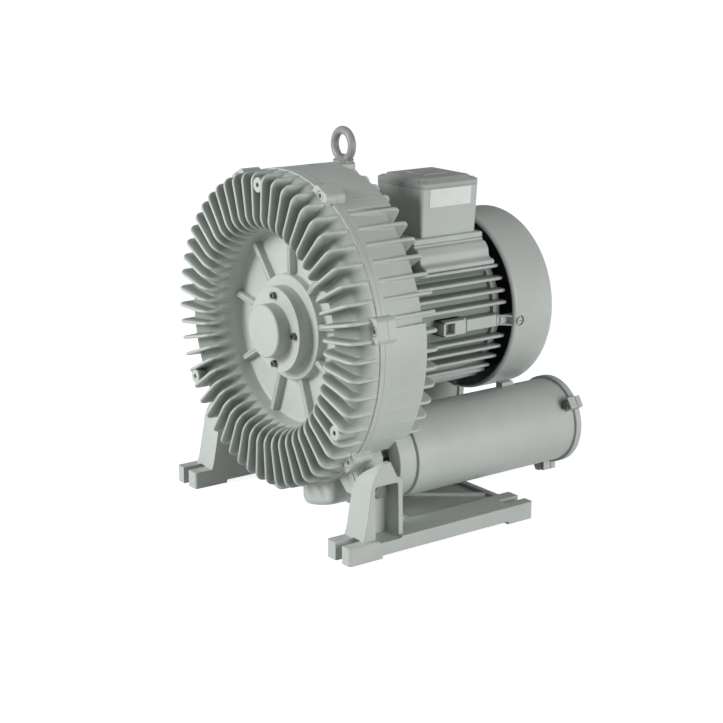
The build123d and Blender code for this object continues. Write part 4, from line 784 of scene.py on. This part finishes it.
def fin_reaches(offset):
    """Distances from the shaft, across the motor, at which the root, heel and tip circles are cut by a
    plane at an offset: the square root of r squared less the offset squared."""
    inner = np.sqrt(max(FIN_ROOT ** 2 - offset ** 2, LEAST_INNER ** 2))
    heel = np.sqrt(FIN_HEEL ** 2 - offset ** 2)
    tip = np.sqrt(FIN_TIP ** 2 - offset ** 2)
    return inner, heel, tip


def flank_fin(height):
    """One level fin on the +X flank, at a height from the shaft, rounded along its edge and at its rear
    corner."""
    inner, heel, tip = fin_reaches(height)
    outline = rounded([(inner, FIN_START, 0), (tip, FIN_START, 3), (tip, FIN_END, 4), (heel, FIN_END, 1),
                       (heel, MOTOR_END, 0.5), (inner, MOTOR_END, 0)])
    z = SHAFT[1] + height
    return slab(outline, z - HALF_FIN, z + HALF_FIN, "xyz", edge=(FIN_ROUND, FIN_ROUND))


def hanging_fin(place):
    """One upright fin below the housing, at a distance from the shaft's plane."""
    inner, heel, tip = (SHAFT[1] - reach for reach in fin_reaches(place))
    outline = rounded([(inner, FIN_START, 0), (inner, MOTOR_END, 0), (heel, MOTOR_END, 0.5),
                       (heel, FIN_END, 1), (tip, FIN_END, 4), (tip, FIN_START, 3)])
    return slab(outline, place - HALF_FIN, place + HALF_FIN, "zyx", edge=(FIN_ROUND, FIN_ROUND))


def saddle():
    """Smooth shoulder under the terminal box, with its ledge, hollow and lower lip."""
    outline = rounded([(-84, 325, 2), (-90, 351, 6), (-62, 389, 18), (-44, 405, 5), (76, 405, 2.5),
                       (76, 395.5, 4), (72.5, 393.8, 2), (83, 391.5, 7), (91, 382, 8), (92.5, 370, 5),
                       (104, 366.5, 2.5), (105.5, 360.5, 2.5), (92, 357, 2), (80, 340, 1)])
    return slab(outline, 222, 354, "xzy", edge=(3.0, 4.0))


def flank_pad():
    """Block with a square pocket and a lower panel behind it, half a pitch below the shaft on the +X
    flank."""
    z = SHAFT[1] - PITCH / 2

    def bar(x0, x1, y0, y1, half, corner, edge):
        return slab(box_outline(x0, x1, y0, y1, corner), z - half, z + half, "xyz", edge=(edge, edge))

    def rail(low, high):
        return slab(box_outline(90, 122, 243, 266, 0.8), low, high, "xyz", edge=(0.8, 0.8))

    return [bar(90, 108, 243, 285.5, 11, 0.8, 0.8), bar(106, 122, 243, 247, 11, 0.8, 0.8),
            bar(90, 122, 264, 285.5, 11, 1.6, 1.6), rail(z + 8, z + 11), rail(z - 11, z - 8),
            bar(90, 116, 284, 290, 11, 0.5, 0.8), bar(90, 119.5, 288.5, 353, 9.2, 1.8, 1.8)]


def cowl_arms():
    """Four arms under the cowl's rim: root plate, floor and end block between two thin side webs."""
    web = rounded([(94, 346, 0), (121, 346, 3), (ARM_REACH, 364, 3), (ARM_REACH, 385, 1.5), (121.3, 385, 1),
                   (121.3, 352, 1), (94, 352, 0)])
    webs = []
    for low, high in ((-8.0, -5.5), (5.5, 8.0)):
        rows = slab_rows(web, low, high, (0.8, 0.8))
        webs.append(quilt(stood(rows, ARM_ANGLES), wrap=(False, True), caps=(True, True)))
    root = radial_plate(box_outline(94, 121, 346, 353, 0.8), 7, 0.5, ARM_ANGLES)
    floor = radial_plate(box_outline(121.3, 123.5, 351, 368, 0.4), 7, 0.3, ARM_ANGLES)
    end = radial_plate(box_outline(121.5, ARM_REACH, 366, 385, 1.5), 7.5, 0.6, ARM_ANGLES)
    return webs + [root, floor, end]


motor = [motor_turning(), saddle()] + cowl_arms()
for step in (-5, -4, -3, -2, 1, 2, 3, 4):
    one = flank_fin(step * PITCH)
    motor += [one, flipped(one)]
motor += [hanging_fin(step * PITCH) for step in range(-4, 5)]
for part in flank_pad():
    motor += [part, flipped(part)]
piece("motor_casting", motor, valley_shade_paint, ("motor_frame",))


# Light and ground

def ground():
    """A pale floor. Its own glow for the camera and for reflections makes most of its brightness, and
    the lamps the rest, so the machine's shadow stays."""
    mesh = bpy.data.meshes.new("floor")
    size = 30.0
    mesh.from_pydata([(-size, -size, 0), (size, -size, 0), (size, size, 0), (-size, size, 0)], [],
                     [(0, 1, 2, 3)])
    material, tree, shader = bare_material("pale_floor")
    shader.inputs["Base Color"].default_value = (0.50, 0.50, 0.50, 1.0)
    shader.inputs["Roughness"].default_value = 0.9
    rays = tree.nodes.new("ShaderNodeLightPath")
    seen = maths(tree, "MAXIMUM", rays.outputs["Is Camera Ray"], rays.outputs["Is Glossy Ray"])
    seen = maths(tree, "MAXIMUM", seen, rays.outputs["Is Transmission Ray"])
    shader.inputs["Emission Color"].default_value = (1.0, 1.0, 1.0, 1.0)
    tree.links.new(maths(tree, "MULTIPLY", seen, 0.87), shader.inputs["Emission Strength"])
    mesh.materials.append(material)
    floor = bpy.data.objects.new("floor", mesh)
    bpy.context.scene.collection.objects.link(floor)


def lamp(name, place, target, size, power):
    """A square area lamp at a place, turned to its target."""
    data = bpy.data.lights.new(name, "AREA")
    data.size = size
    data.energy = power
    light = bpy.data.objects.new(name, data)
    light.location = place
    light.rotation_euler = (Vector(target) - Vector(place)).to_track_quat("-Z", "Y").to_euler()
    bpy.context.scene.collection.objects.link(light)


def sky(strength):
    """Even light from all around; the camera and reflections see white."""
    world = bpy.data.worlds.new("studio")
    bpy.context.scene.world = world
    world.use_nodes = True
    tree = world.node_tree
    back = tree.nodes["Background"]
    rays = tree.nodes.new("ShaderNodeLightPath")
    seen = maths(tree, "MAXIMUM", rays.outputs["Is Camera Ray"], rays.outputs["Is Transmission Ray"])
    tree.links.new(spread(tree, seen, 0.0, 1.0, strength, 1.0), back.inputs["Strength"])
    back.inputs["Color"].default_value = (1.0, 1.0, 1.0, 1.0)


ground()
sky(0.25)
lamp("key", (-0.8, -2.7, 1.3), (0, 0, 0.28), 1.2, 80)
lamp("fill", (2.9, 0.75, 0.75), (0, 0.1, 0.25), 1.4, 53)
bpy.context.scene.view_settings.view_transform = "Standard"
